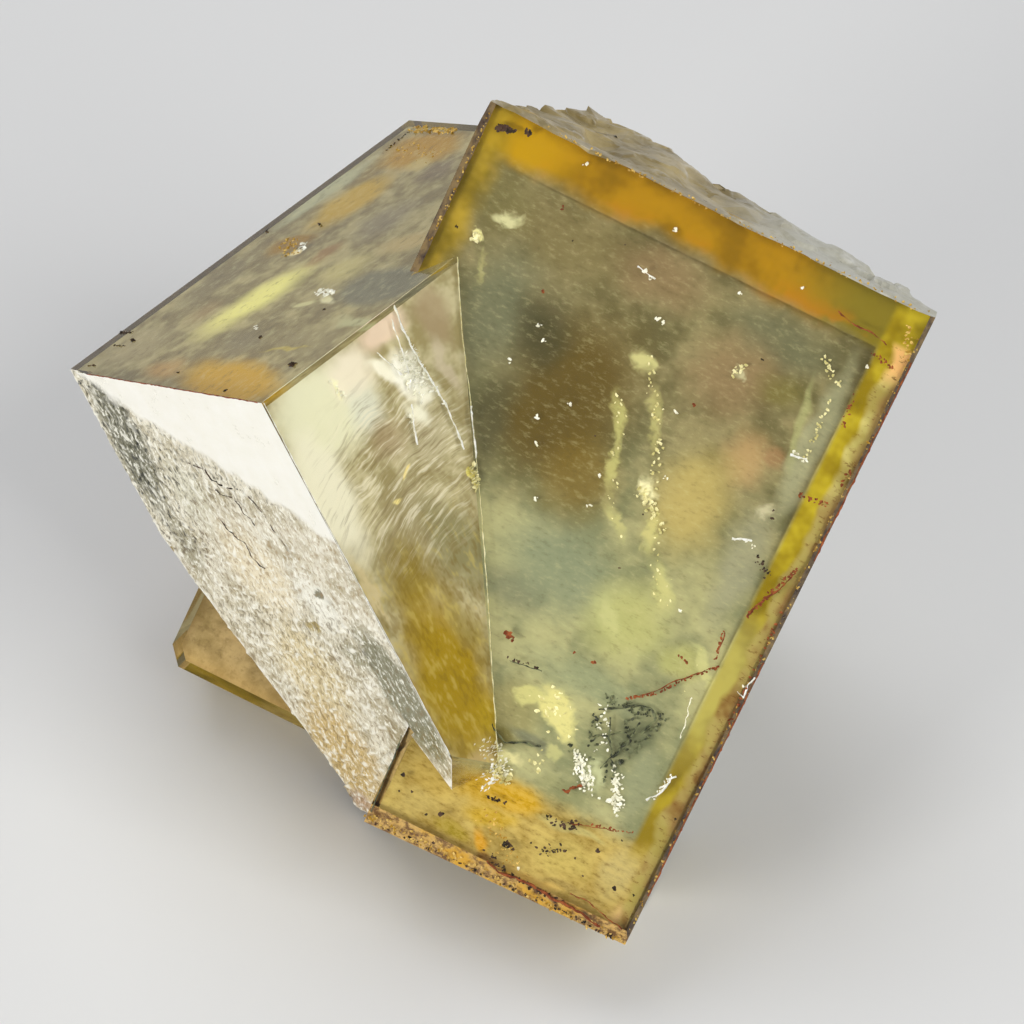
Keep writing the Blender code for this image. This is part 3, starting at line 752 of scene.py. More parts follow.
tone = recipe.lay(tone, pit_tone, pits, recipe.plus(0.70, recipe.times(upper_left, 0.28)))
tone = recipe.lay(tone, (0.98, 0.96, 0.84), ridges, 0.82)
tone = recipe.mix(rough_share, frost_and_painted_highlight, tone)
recipe.feed(shader.inputs["Base Color"], tone)
recipe.feed(shader.inputs["Roughness"], recipe.plus(recipe.times(haze, 0.3), 0.16))
set_bump(recipe, shader, recipe.cloud(place, 0.16, 4.0, 0.6), 0.4, 0.00008)
shader.inputs["IOR"].default_value = FLUORITE_IOR
print("etched finish", len(etched.node_tree.nodes), "nodes")

# %% [markdown]
# Where the specimen broke, the surface is hackly: shards with paler rims, warm beige at
# the left and grey at the right, dulled by fine chips. The shards are real shape. The
# colour adds haze, amber stains, darker hollows and pale rims.

# %% Broken finish
broken, shader, recipe = new_finish("broken_fluorite")
place = large_place(recipe)
x, y, _ = split(recipe, place)
haze = recipe.cloud(place, 2.8, 6.0, 0.62)
grain = recipe.cloud(place, 0.5, 4.0, 0.6)
warm = recipe.mix(recipe.rise(haze, 0.32, 0.68), (0.22, 0.16, 0.05), (0.50, 0.40, 0.20))
grey = recipe.mix(grain, (0.34, 0.32, 0.22), (0.72, 0.71, 0.62))
tone = recipe.mix(recipe.rise(x, 11.0, 18.0), warm, grey)
stain = recipe.rise(recipe.cloud(place, 4.5, 5.0, 0.6, 0.8), 0.52, 0.68)
tone = recipe.lay(tone, (0.42, 0.28, 0.05), stain, recipe.rise(y, -1.0, -4.0))
etch = recipe.measure("etch")
tone = recipe.lay(tone, (0.24, 0.18, 0.08), recipe.rise(etch, 0.45, 0.15), 0.6)
tone = recipe.lay(tone, (0.86, 0.85, 0.80), recipe.rise(etch, 0.66, 0.9), 0.6)
recipe.feed(shader.inputs["Base Color"], tone)
recipe.feed(shader.inputs["Roughness"], recipe.plus(recipe.times(grain, 0.3), 0.18))
set_bump(recipe, shader, grain, 0.35, 0.00012)
shader.inputs["IOR"].default_value = FLUORITE_IOR
print("broken finish", len(broken.node_tree.nodes), "nodes")

# %% [markdown]
# Three more finishes are for narrow or hidden faces: the rust brown bevels along the
# large cube's edges, the grainy lower rim, and the cut base with the marks of a saw.

# %% Worn and sawn finishes
SAW_TURN = 24.0
SAW_SCALE = (90.0, 2600.0, 1.0)

edge_stain, shader, recipe = new_finish("stained_edge")
blotch = recipe.cloud(large_place(recipe), 0.7, 4.0, 0.65)
tone = recipe.mix(recipe.rise(blotch, 0.35, 0.65), (0.055, 0.028, 0.012), (0.26, 0.17, 0.06))
recipe.feed(shader.inputs["Base Color"], tone)
set_roughness(recipe, shader, blotch, 0.25, 0.5)
set_bump(recipe, shader, blotch, 0.4, 0.0001)

grainy_rim, shader, recipe = new_finish("worn_lower_rim")
place = large_place(recipe)
grain = recipe.cloud(place, 0.45, 5.0, 0.7)
patches = recipe.cloud(place, 1.8, 4.0)
tone = recipe.mix(recipe.rise(grain, 0.38, 0.6), (0.15, 0.065, 0.012), (0.64, 0.40, 0.11))
tone = recipe.mix(recipe.rise(patches, 0.5, 0.65), tone, (0.66, 0.36, 0.02))
recipe.feed(shader.inputs["Base Color"], tone)
recipe.feed(shader.inputs["Roughness"], recipe.plus(recipe.times(grain, 0.3), 0.3))
set_bump(recipe, shader, grain, 0.6, 0.00015)

sawn, shader, recipe = new_finish("sawn_base")
lines = recipe.mapped(
    object_place(recipe), "POINT", (0.0, 0.0, 0.0), (0.0, 0.0, math.radians(SAW_TURN)), SAW_SCALE)
marks = recipe.cloud(lines, 1.0, 2.0, 0.5)
haze = recipe.cloud(large_place(recipe), 3.0, 5.0)
tone = recipe.mix(haze, (0.34, 0.29, 0.15), (0.62, 0.58, 0.44))
tone = recipe.lay(tone, (0.78, 0.76, 0.68), marks, 0.35)
recipe.feed(shader.inputs["Base Color"], tone)
recipe.feed(shader.inputs["Roughness"], recipe.plus(recipe.times(marks, 0.3), 0.35))
set_bump(recipe, shader, marks, 0.4, 0.00005)
print("worn and sawn finishes", edge_stain.name, grainy_rim.name, sawn.name)

# %% [markdown]
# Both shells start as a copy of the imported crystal, with its loose triangles merged.
# Its faces are sorted by the way they look: the clear grown faces, the etched left face
# of the small cube, the worn lower rim, the stained edges, the sawn base and the breaks.

# %% Copy the crystal and sort its faces
KINDS = ("front", "top", "right", "block", "etched", "broken", "rim", "edge", "base")
FRONT, TOP, RIGHT, BLOCK, ETCHED, BROKEN, RIM, EDGE, BASE = range(len(KINDS))
RIM_WAY = STAND @ Vector((0.0, -0.53, 0.85)).normalized()
EDGE_WAYS = [STAND @ Vector((side, 0.0, 0.8)).normalized() for side in (-1.0, 1.0)]
SMALLEST_GROWN = 3.0 * MM * MM
SMALLEST_LEDGE = 2.0 * MM * MM
UPPER_BREAK = -1.2
PARALLEL = 0.999
ON_PLANE = 0.1
NEAR_LEDGE, ON_LEDGE = 0.3, 0.2


def face_kind(face):
    """Sort a face by the way it looks, where it is and its size."""
    way = face.normal
    middle = face.calc_center_median()
    small = in_small(middle)
    large = in_large(middle)
    area = face.calc_area()
    faces_left = abs(way.dot(RIGHT_WAY)) > PARALLEL and min(small.x, small.z) > -ON_PLANE
    if way.z < -PARALLEL and middle.z < 0.02 * MM:
        return BASE
    if faces_left and abs(small.y) < NEAR_LEDGE:
        return ETCHED
    if abs(small.y) < ON_LEDGE and small.x > 1.0 and small.z > 0.2 and area < SMALLEST_LEDGE:
        return ETCHED
    if way.dot(RIM_WAY) > PARALLEL:
        return RIM
    if max(way.dot(edge_way) for edge_way in EDGE_WAYS) > PARALLEL:
        return EDGE
    if way.dot(FRONT_WAY) > PARALLEL and abs(large.z) < ON_PLANE:
        return FRONT
    if way.dot(-DOWN_WAY) > PARALLEL:
        return TOP
    if way.dot(-LEFT_WAY) > PARALLEL and abs(small.x) < ON_PLANE:
        return RIGHT
    if area > SMALLEST_GROWN and large.y < UPPER_BREAK:
        return BLOCK
    return BROKEN


SAME_POINT = 1e-6
SAME_PLANE = math.radians(0.35)


def merged_copy():
    """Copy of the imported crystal, with one polygon for each flat face, sorted."""
    mesh = bmesh.new()
    mesh.from_mesh(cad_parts["fluorite_twin"].data)
    bmesh.ops.remove_doubles(mesh, verts=list(mesh.verts), dist=SAME_POINT)
    bmesh.ops.dissolve_limit(
        mesh, angle_limit=SAME_PLANE, verts=list(mesh.verts), edges=list(mesh.edges))
    layer = mesh.faces.layers.int.new("kind")
    for face in mesh.faces:
        face[layer] = face_kind(face)
    return mesh, layer


shape, kind = merged_copy()
counts = dict.fromkeys(KINDS, 0)
for face in shape.faces:
    counts[KINDS[face[kind]]] += 1
print("faces by kind", counts)

# %% [markdown]
# The inner shell is the same solid with every face moved inwards. A corner moves so
# that it ends up on all the moved planes that meet there, found by least squares, which
# keeps the flat faces flat and parallel to the outer ones. In a break, where many small
# facets meet, the corner simply moves back along their mean. Right behind the front
# face's top edge it goes straight back from that edge, because a corner that hangs lower
# would show through the clear face as a pale tooth.

# %% Inner shell
SKIN = 0.42 * MM
ETCHED_SKIN = 0.2 * MM
OPAQUE_SKIN = 0.6 * MM
BREAK_EDGE_SKIN = 0.08 * MM
EDGE_SINK = 0.05
EDGE_DEPTH = -1.6
EDGE_LEFT, EDGE_RIGHT = 0.6, 24.6
LONGEST_MOVE = 2.2
SAME_WAY = 0.996
WEAK_SHARE = 0.15
SKIN_OF = {
    ETCHED: ETCHED_SKIN, EDGE: ETCHED_SKIN, RIM: ETCHED_SKIN,
    BROKEN: OPAQUE_SKIN, BASE: OPAQUE_SKIN}


def distinct_ways(faces):
    """Normals of the faces round a corner, one for each plane."""
    ways = []
    for face in faces:
        if all(face.normal.dot(way) < SAME_WAY for way, _ in ways):
            ways.append((face.normal.copy(), SKIN_OF.get(face[core_kind], SKIN)))
    return ways


def mean_way(faces):
    """Mean normal of some faces."""
    return sum((face.normal for face in faces), Vector()).normalized()


def at_top_edge(spot):
    """True for a place of the break right behind the front face's top edge."""
    return spot.y > UPPER_BREAK and spot.z > EDGE_DEPTH and EDGE_LEFT < spot.x < EDGE_RIGHT


def behind_front(point, move, depth):
    """The move, with more of it where it would come out past a depth under the front face."""
    ends = in_large(point + move)
    extra = max(ends.z + depth, 0.0) if ends.y > UPPER_BREAK else 0.0
    return move - FRONT_WAY * extra * MM


def inward_move(vert):
    """Move that puts a corner on all its planes, once each has gone in by its skin."""
    grown = [face for face in vert.link_faces if face[core_kind] != BROKEN]
    breaks = [face for face in vert.link_faces if face[core_kind] == BROKEN]
    spot = in_large(vert.co)
    if breaks and at_top_edge(spot):
        rise = max(spot.y, 0.0) - spot.y - EDGE_SINK
        return UP * rise * MM - FRONT_WAY * SKIN
    if not grown:
        return behind_front(vert.co, -mean_way(breaks) * OPAQUE_SKIN, SKIN / MM)
    ways = distinct_ways(grown)
    if breaks:
        ways.append((mean_way(breaks), BREAK_EDGE_SKIN))
    table = np.array([tuple(way) for way, _ in ways])
    goal = np.array([-skin for _, skin in ways])
    move = Vector(np.linalg.lstsq(table, goal, rcond=WEAK_SHARE)[0])
    limit = LONGEST_MOVE * OPAQUE_SKIN
    move = move if move.length < limit else move.normalized() * limit
    return behind_front(vert.co, move, SKIN / MM) if breaks else move


core, core_kind = merged_copy()
moves = [(vert, inward_move(vert)) for vert in core.verts]
for vert, move in moves:
    vert.co += move
print("longest move in mm", round(max(move.length for _, move in moves) / MM, 2))

# %% [markdown]
# Inside the front face the grey green heart lies a little deeper than the amber frame
# round it. So a rectangle of the inner front face is cut free and sunk. Its top and
# right walls show the edge of the heart as a step, as a phantom crystal inside a clear
# one does. At the left and the foot it rises back to the face as a slope.

# %% Sink the heart of the front face
HEART_LEFT, HEART_RIGHT = 1.3, 22.95
HEART_TOP, HEART_FOOT = -2.7, -32.0
HEART_DEPTH = 0.6
HEART_SLOPE = 1.0


def edges_of(faces):
    """Edges of some faces, each once, in the order of the faces."""
    return list(dict.fromkeys(edge for face in faces for edge in face.edges))


def cut_with_plane(mesh, faces, point, way, near=SAME_POINT):
    """Cut some faces of a mesh with a plane."""
    verts = list(dict.fromkeys(vert for face in faces for vert in face.verts))
    bmesh.ops.bisect_plane(
        mesh, geom=verts + edges_of(faces) + faces, dist=near, plane_co=point, plane_no=way)


def inside_heart(face):
    """True for the inner front faces within the heart's rectangle."""
    spot = in_large(face.calc_center_median())
    across = HEART_LEFT < spot.x < HEART_RIGHT
    return face[core_kind] == FRONT and across and HEART_FOOT < spot.y < HEART_TOP


for point, way in (
        (from_large(HEART_LEFT, 0, 0), SIDE), (from_large(HEART_RIGHT, 0, 0), SIDE),
        (from_large(0, HEART_TOP, 0), UP), (from_large(0, HEART_FOOT, 0), UP)):
    cut_with_plane(core, [face for face in core.faces if face[core_kind] == FRONT], point, way)
heart = [face for face in core.faces if inside_heart(face)]
sunk = bmesh.ops.extrude_face_region(core, geom=heart)
bmesh.ops.delete(core, geom=heart, context="FACES")
floor_verts = [item for item in sunk["geom"] if isinstance(item, bmesh.types.BMVert)]
for vert in floor_verts:
    spot = in_large(vert.co)
    if spot.x >= HEART_LEFT + HEART_SLOPE and spot.y >= HEART_FOOT + HEART_SLOPE:
        vert.co -= FRONT_WAY * HEART_DEPTH * MM
bmesh.ops.remove_doubles(core, verts=list(core.verts), dist=SAME_POINT)
bmesh.ops.recalc_face_normals(core, faces=list(core.faces))
print("heart faces", len(heart), "sunk points", len(floor_verts))

# %% [markdown]
# A piece is a mesh with its finishes, which rides on the specimen. The inner shell takes
# a finish for each kind of face. The large cube's own right side is sorted as a grown
# face like the block's, but it takes the large cube's colours.

# %% Finish the inner shell
CORE_FINISH = {
    FRONT: 0, RIM: 0, EDGE: 0, TOP: 1, RIGHT: 2, BLOCK: 3, ETCHED: 3, BROKEN: 3, BASE: 3}
LARGE_SIDE_FROM = 5.0


def to_piece(name, mesh, finishes):
    """Turn a bmesh into a finished piece that rides on the specimen."""
    for vert in mesh.verts:
        vert.co.z = max(vert.co.z, 0.0)
    data = bpy.data.meshes.new(name)
    mesh.to_mesh(data)
    mesh.free()
    for finish in finishes:
        data.materials.append(finish)
    piece = bpy.data.objects.new(name, data)
    bpy.context.scene.collection.objects.link(piece)
    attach(piece, "root")
    return piece


for face in core.faces:
    face.material_index = CORE_FINISH[face[core_kind]]
    spot = in_large(face.calc_center_median())
    if face[core_kind] == BLOCK and spot.x > LARGE_SIDE_FROM:
        face.material_index = 0
bmesh.ops.triangulate(core, faces=list(core.faces))
core_finishes = [cloudy_large, cloudy_top, cloudy_right, cloudy_block]
cloudy_heart = to_piece("cloudy_heart", core, core_finishes)
print("cloudy heart", len(cloudy_heart.data.polygons), "triangles")

# %% [markdown]
# On the outer shell the flat grown faces stay as they are. The etched face and the breaks
# are cut finely and pushed in and out, because their relief shows in the outline and in
# the highlights. The etched face is cut into squares with two rows of planes, then each
# square is divided again. The broken facets are divided directly.

# %% Cut the rough faces finely
SQUARE = 0.8
RIM_ROW = 0.35
CUTS = 4
NEAR_CUT = 0.02 * MM


def faces_of(wanted):
    """Faces of one kind on the outer shell."""
    return [face for face in shape.faces if face[kind] == wanted]


def cut_rows(wanted, way, step):
    """Cut the faces of one kind with parallel planes a step apart."""
    spread = [way.dot(vert.co) for face in faces_of(wanted) for vert in face.verts]
    place = min(spread) + step * 0.5
    while place < max(spread):
        cut_with_plane(shape, faces_of(wanted), way * place, way, NEAR_CUT)
        place += step


def divide(wanted, cuts):
    """Divide every edge of the faces of one kind, and fill them with small faces."""
    bmesh.ops.subdivide_edges(
        shape, edges=edges_of(faces_of(wanted)), cuts=cuts, use_grid_fill=True)


cut_rows(ETCHED, LEFT_WAY, SQUARE * MM)
cut_rows(ETCHED, DOWN_WAY, SQUARE * MM)
divide(ETCHED, CUTS)
divide(BROKEN, CUTS)
cut_rows(RIM, SIDE, RIM_ROW * MM)
divide(RIM, 1)
print("faces after cutting", len(shape.faces))

# %% [markdown]
# Relief of the etched face: shallow swells on the smooth part, and on the lower part a
# mix of streaks, which run down to the left, and round pits. A function gives each point
# its height, and also a share from 0 in the pits to 1 on the ridges, for the colours to
# read. Blender's noise functions give the same shape on every run, but only once their
# seed is set: without it, noise_vector depends on the clock.

# %% Relief of the etched face
noise.seed_set(1)
FADE, FINER, OCTAVES = 0.7, 2.1, 3
PIT_WIDE, PIT_HIGH, PIT_RADIUS = 0.6, 0.45, 0.5
SWELL, SWELL_HEIGHT = 2.5, 0.012
ETCH_HEIGHT = 0.22
ETCH_HIGHEST, ETCH_DEEPEST = 0.13, -0.19


def limit(value):
    """Value kept between 0 and 1."""
    return min(max(value, 0.0), 1.0)


def roughness_at(small):
    """Share of etching: 0 above the growth ledge, 1 below it and on the worn left side."""
    below_ledge = limit((small.y - 0.03) / 0.08)
    lower = limit((small.z - 8.5) / 3.0)
    jag = 1.3 * noise.noise(Vector((small.x, small.z, 0.0)) * 0.8)
    worn_left = limit((small.x + jag - 19.0 + 2.3 * small.z) / 1.2)
    return max(below_ledge, lower, worn_left)


def etch_relief(point):
    """Height in millimetres, and a share from pit to ridge, on the etched face."""
    small = in_small(point)
    rough = roughness_at(small)
    along = small.x * 0.98 + small.z * 0.2
    across = small.z * 0.98 - small.x * 0.2
    scratches = noise.fractal(Vector((along / 0.3, across / 0.75, 3.0)), FADE, FINER, OCTAVES)
    scales = noise.fractal(Vector((along / 0.7, across / 0.32, 5.0)), FADE, FINER, OCTAVES)
    lower = limit((small.z - 7.0) / 4.0)
    streak = scratches * (1.0 - lower) + scales * lower
    spread, _ = noise.voronoi(Vector((small.x / PIT_WIDE, small.z / PIT_HIGH, 7.0)))
    pit = limit(spread[0] / PIT_RADIUS) - 0.7
    smooth = noise.noise(Vector((small.x / SWELL, small.z / SWELL, 1.0))) * SWELL_HEIGHT
    calm = 1.0 - 0.75 * limit((4.2 - small.x) / 2.0) * limit((small.z - 15.0) / 2.0)
    lively = (streak * 0.55 + pit * 0.5) * calm
    height = max(min(smooth + rough * ETCH_HEIGHT * lively, ETCH_HIGHEST), ETCH_DEEPEST)
    return height, 0.5 + rough * lively * 0.7


print("etched relief from", ETCH_DEEPEST, "to", ETCH_HIGHEST, "mm")

# %% [markdown]
# Relief of the breaks: flat shards, each tilted its own way, as a cell pattern gives
# them, with smaller chips of the same kind on them. It fades out towards the front face.
# The lower rim is only grainy.

# %% Relief of the breaks and the rim
SHARD, SHARD_TILT, SHARD_STEP = 1.9, 0.17, 0.10
CHIP, CHIP_TILT = 0.7, 0.05
SHARD_HIGHEST, SHARD_DEEPEST = 0.20, -0.30
SHARD_RIM = 0.22
GRAIN, GRAIN_HEIGHT = 0.45, 0.10


def shard_relief(point):
    """Height in millimetres, and a share from hollow to rim, on a broken face."""
    place = in_large(point)
    spread, centres = noise.voronoi(place / SHARD)
    tilt = noise.noise_vector(centres[0] * 5.3)
    step = noise.noise(centres[0] * 2.7) * SHARD_STEP
    height = tilt.dot(place - centres[0] * SHARD) * SHARD_TILT + step
    _, chips = noise.voronoi(place / CHIP)
    chip_tilt = noise.noise_vector(chips[0] * 3.1)
    height += chip_tilt.dot(place - chips[0] * CHIP) * CHIP_TILT
    height = max(min(height, SHARD_HIGHEST), SHARD_DEEPEST)
    rim = 1.0 - limit((spread[1] - spread[0]) / SHARD_RIM)
    return height * limit((-place.z - 0.5) / 1.2), 0.5 + height * 0.9 + rim * 0.22


def rim_relief(point):
    """Grains of the worn lower rim."""
    return noise.noise(in_large(point) / GRAIN) * GRAIN_HEIGHT, 0.5


print("shards", SHARD, "mm across, chips", CHIP, "mm")

# %% [markdown]
# Now the points are pushed out and in. Only points that lie wholly within one kind of
# face move, so that every crystal edge stays sharp and straight. The break is kept above
# the front face's top edge here too. The shares stay on the mesh as attributes.

# %% Push the relief in and out
COVERED = 0.02
EVEN_SHARE = 0.5


def over_front_edge(point, move):
    """The move, raised where a break would dip behind the front face's top edge."""
    ends = in_large(point + move)
    return move - UP * ends.y * MM if at_top_edge(ends) and ends.y < 0.0 else move


def push_relief(wanted, relief, fixed_way=None):
    """Move the points that lie only on faces of one kind, and keep their share as etch."""
    moves = []
    for vert in shape.verts:
        if all(face[kind] == wanted for face in vert.link_faces):
            if wanted == ETCHED:
                vert[rough_layer] = roughness_at(in_small(vert.co))
            height, vert[etch_layer] = relief(vert.co)
            move = (fixed_way or vert.normal) * height * MM
            if wanted == BROKEN:
                move = over_front_edge(vert.co, behind_front(vert.co, move, COVERED))
            moves.append((vert, move))
    for vert, move in moves:
        vert.co += move
    return len(moves)


etch_layer = shape.verts.layers.float.new("etch")
rough_layer = shape.verts.layers.float.new("rough")
for vert in shape.verts:
    vert[etch_layer] = EVEN_SHARE
moved = [
    push_relief(ETCHED, etch_relief, -RIGHT_WAY),
    push_relief(BROKEN, shard_relief),
    push_relief(RIM, rim_relief),
]
print("points moved", moved)

# %% [markdown]
# The finished outer shell gets its finishes by kind of face, and stands for the packed
# crystal. Crystal faces and shards are flat shaded, because they have no soft edges.
# Only the finely cut etched face is smooth shaded.

# %% Finish the outer shell
OUTER_FINISH = {
    FRONT: 0, TOP: 0, RIGHT: 0, BLOCK: 0, ETCHED: 1, BROKEN: 2, RIM: 3, EDGE: 4, BASE: 5}
for face in shape.faces:
    face.material_index = OUTER_FINISH[face[kind]]
    face.smooth = face[kind] == ETCHED
bmesh.ops.triangulate(shape, faces=list(shape.faces))
crystal = to_piece("crystal", shape, [clear, etched, broken, grainy_rim, edge_stain, sawn])
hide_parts("fluorite_twin")
print("crystal", len(crystal.data.polygons), "triangles")

# %% [markdown]
# Veils, sparks, grains and rust lines are all the same thing to build: many tiny flakes
# along a line. One Geometry Nodes tree makes them. It spreads points along a line, moves
# each a little at random, puts a flat flake on each with its own turn and size, and gives
# them one finish. The line, the number, the reach and the sizes are the tree's inputs.

# %% Tree of flakes along a line
CRUMPLE = 0.35
TILT, FULL_TURN = 0.7, 6.28
SMALLEST_SHARE = 0.35


def start_tree(name, inputs):
    """Empty Geometry Nodes tree with a line and some values as its inputs."""
    tree = bpy.data.node_groups.new(name, "GeometryNodeTree")
    for title, socket_type in (("Line", "NodeSocketGeometry"), *inputs):
        tree.interface.new_socket(name=title, in_out="INPUT", socket_type=socket_type)
    tree.interface.new_socket(name="Result", in_out="OUTPUT", socket_type="NodeSocketGeometry")
    return tree, tree.nodes.new("NodeGroupInput").outputs, Recipe(tree)


def random_vector(wiring, low, high, seed):
    """Random vector between two corners, for every point."""
    made = wiring.add("FunctionNodeRandomValue", {"Seed": seed}, data_type="FLOAT_VECTOR")
    wiring.feed(made.inputs[0], low)
    wiring.feed(made.inputs[1], high)
    return made.outputs[0]


def end_tree(wiring, geometry, finish):
    """Turn everything into plain mesh with one finish, as the tree's result."""
    real = wiring.add("GeometryNodeRealizeInstances", {"Geometry": geometry}).outputs[0]
    done = wiring.add("GeometryNodeSetMaterial", {"Geometry": real, "Material": finish}).outputs[0]
    wiring.feed(wiring.tree.nodes.new("NodeGroupOutput").inputs[0], done)


def points_on_line(wiring, start):
    """The input line as a curve with the wanted number of points."""
    line = wiring.add("GeometryNodeMeshToCurve", {"Mesh": start["Line"]}).outputs[0]
    inputs = {"Curve": line, "Count": start["Count"]}
    return wiring.add("GeometryNodeResampleCurve", inputs).outputs[0]


def build_flake_tree():
    """Geometry Nodes: a line becomes flakes scattered along it."""
    tree, start, wiring = start_tree("flakes_along_a_line", (
        ("Count", "NodeSocketInt"), ("Reach", "NodeSocketVector"),
        ("Size", "NodeSocketFloat"), ("Flatness", "NodeSocketFloat"),
        ("Seed", "NodeSocketInt"), ("Finish", "NodeSocketMaterial")))
    points = points_on_line(wiring, start)
    low = wiring.vector("MULTIPLY", start["Reach"], (-1.0, -1.0, -1.0))
    shift = random_vector(wiring, low, start["Reach"], start["Seed"])
    moved = wiring.add("GeometryNodeSetPosition", {"Geometry": points, "Offset": shift}).outputs[0]
    ball = wiring.add("GeometryNodeMeshIcoSphere", {"Radius": 1.0, "Subdivisions": 1}).outputs[0]
    crumple = random_vector(wiring, (-CRUMPLE,) * 3, (CRUMPLE,) * 3, 1)
    uneven = wiring.add("GeometryNodeSetPosition", {"Geometry": ball, "Offset": crumple}).outputs[0]
    sides = {"X": 1.0, "Y": 0.7, "Z": start["Flatness"]}
    thin = wiring.add("ShaderNodeCombineXYZ", sides).outputs[0]
    flake = wiring.add("GeometryNodeTransform", {"Geometry": uneven, "Scale": thin}).outputs[0]
    turn = random_vector(wiring, (-TILT, -TILT, 0.0), (TILT, TILT, FULL_TURN), start["Seed"])
    size = wiring.add("FunctionNodeRandomValue", {"Seed": start["Seed"]}, data_type="FLOAT")
    wiring.feed(size.inputs[2], SMALLEST_SHARE)
    wiring.feed(size.inputs[3], 1.0)
    scale = wiring.times(size.outputs[1], start["Size"])
    placed = wiring.add("GeometryNodeInstanceOnPoints", {
        "Points": moved, "Instance": flake, "Rotation": turn, "Scale": scale}).outputs[0]
    end_tree(wiring, placed, start["Finish"])
    return tree


flake_tree = build_flake_tree()
print("flake tree", len(flake_tree.nodes), "nodes")

# %% [markdown]
# Fine cracks and the seam between the two cubes are threads rather than flakes. A second
# tree bends a line with noise and sweeps a small ring along it. Another noise makes the
# thread swell and thin out, because a real crack line is never even.

# %% Tree of a thread along a line
BENDS_PER_MM = 1.3
SWELLS_PER_MM = 2.6
RING_SIDES = 5


def build_thread_tree():
    """Geometry Nodes: a line becomes a thin uneven thread."""
    tree, start, wiring = start_tree("thread_along_a_line", (
        ("Count", "NodeSocketInt"), ("Wander", "NodeSocketFloat"),
        ("Thickness", "NodeSocketFloat"), ("Finish", "NodeSocketMaterial")))
    points = points_on_line(wiring, start)
    place = wiring.add("GeometryNodeInputPosition", {}).outputs[0]
    inputs = {"Vector": place, "Scale": BENDS_PER_MM, "Detail": 3.0}
    bend = wiring.add("ShaderNodeTexNoise", inputs).outputs["Color"]
    centred = wiring.vector("SUBTRACT", bend, (0.5, 0.5, 0.5))
    flat = wiring.vector("MULTIPLY", centred, (1.0, 1.0, 0.1))
    inputs = {0: flat, "Scale": start["Wander"]}
    reach = wiring.add("ShaderNodeVectorMath", inputs, operation="SCALE").outputs[0]
    bent = wiring.add("GeometryNodeSetPosition", {"Geometry": points, "Offset": reach}).outputs[0]
    inputs = {"Vector": place, "Scale": SWELLS_PER_MM, "Detail": 3.0}
    swell = wiring.add("ShaderNodeTexNoise", inputs).outputs["Fac"]
    inputs = {"Value": swell, "From Min": 0.35, "From Max": 0.65, "To Min": 0.2, "To Max": 1.0}
    share = wiring.add("ShaderNodeMapRange", inputs).outputs[0]
    inputs = {"Resolution": RING_SIDES, "Radius": 1.0}
    ring = wiring.add("GeometryNodeCurvePrimitiveCircle", inputs).outputs[0]
    swept = wiring.add("GeometryNodeCurveToMesh", {
        "Curve": bent, "Profile Curve": ring, "Fill Caps": True,
        "Scale": wiring.times(share, start["Thickness"])}).outputs[0]
    end_tree(wiring, swept, start["Finish"])
    return tree


thread_tree = build_thread_tree()
print("thread tree", len(thread_tree.nodes), "nodes")

# %% [markdown]
# A trail is a line of places in one cube's frame with its count, reach and flake size.
# The tree works in that frame, in millimetres, and the result is then moved to its place
# on the specimen. All trails of one finish are joined into one piece.

# %% Grow a mesh from a line
LARGE_TO_SPECIMEN = Matrix.Translation(LARGE_ORIGIN) @ STAND.to_4x4() @ Matrix.Scale(MM, 4)
SMALL_AXES = Matrix((LEFT_WAY, RIGHT_WAY, DOWN_WAY)).transposed().to_4x4()
SMALL_TO_SPECIMEN = Matrix.Translation(SMALL_ORIGIN) @ SMALL_AXES @ Matrix.Scale(MM, 4)
SHORT_LINE = 0.01


def grow(tree, line, values):
    """Mesh that a tree makes from a line and its input values."""
    if len(line) == 1:
        line = [line[0], tuple(value + SHORT_LINE for value in line[0])]
    data = bpy.data.meshes.new("line")
    data.from_pydata(line, [(step, step + 1) for step in range(len(line) - 1)], [])
    host = bpy.data.objects.new("line", data)
    bpy.context.scene.collection.objects.link(host)
    modifier = host.modifiers.new("grow", "NODES")
    modifier.node_group = tree
    for item in tree.interface.items_tree:
        if item.name in values:
            modifier[item.identifier] = values[item.name]
    bpy.context.view_layer.update()
    graph = bpy.context.evaluated_depsgraph_get()
    made = bpy.data.meshes.new_from_object(host.evaluated_get(graph))
    bpy.data.objects.remove(host)
    return made


def joined_piece(name, finish, parts):
    """One piece from meshes that are given in the cubes' frames."""
    mesh = bmesh.new()
    for cube, made in parts:
        made.transform(LARGE_TO_SPECIMEN if cube == "large" else SMALL_TO_SPECIMEN)
        mesh.from_mesh(made)
        bpy.data.meshes.remove(made)
    bmesh.ops.recalc_face_normals(mesh, faces=list(mesh.faces))
    piece = to_piece(name, mesh, [finish])
    print(name, len(parts), "parts", len(piece.data.polygons), "faces")
    return piece


def flake_piece(name, finish, flatness, trails):
    """One piece from many trails: frame, line, count, reach, size."""
    parts = []
    for seed, (cube, line, count, reach, size) in enumerate(trails):
        values = {"Count": count, "Reach": reach, "Size": size}
        values.update({"Flatness": flatness, "Seed": seed, "Finish": finish})
        parts.append((cube, grow(flake_tree, line, values)))
    return joined_piece(name, finish, parts)


def thread_piece(name, finish, threads):
    """One piece from many threads: frame, line, count, wander, thickness."""
    parts = []
    for cube, line, count, wander, thickness in threads:
        values = {"Count": count, "Wander": wander, "Thickness": thickness, "Finish": finish}
        parts.append((cube, grow(thread_tree, line, values)))
    return joined_piece(name, finish, parts)


print("frames of the trails ready")

# %% [markdown]
# Each sort of flake has a finish of two tones in small patches: pale veils, white sparks,
# rust, dark grains, ochre, and the dark green of a healed fracture.

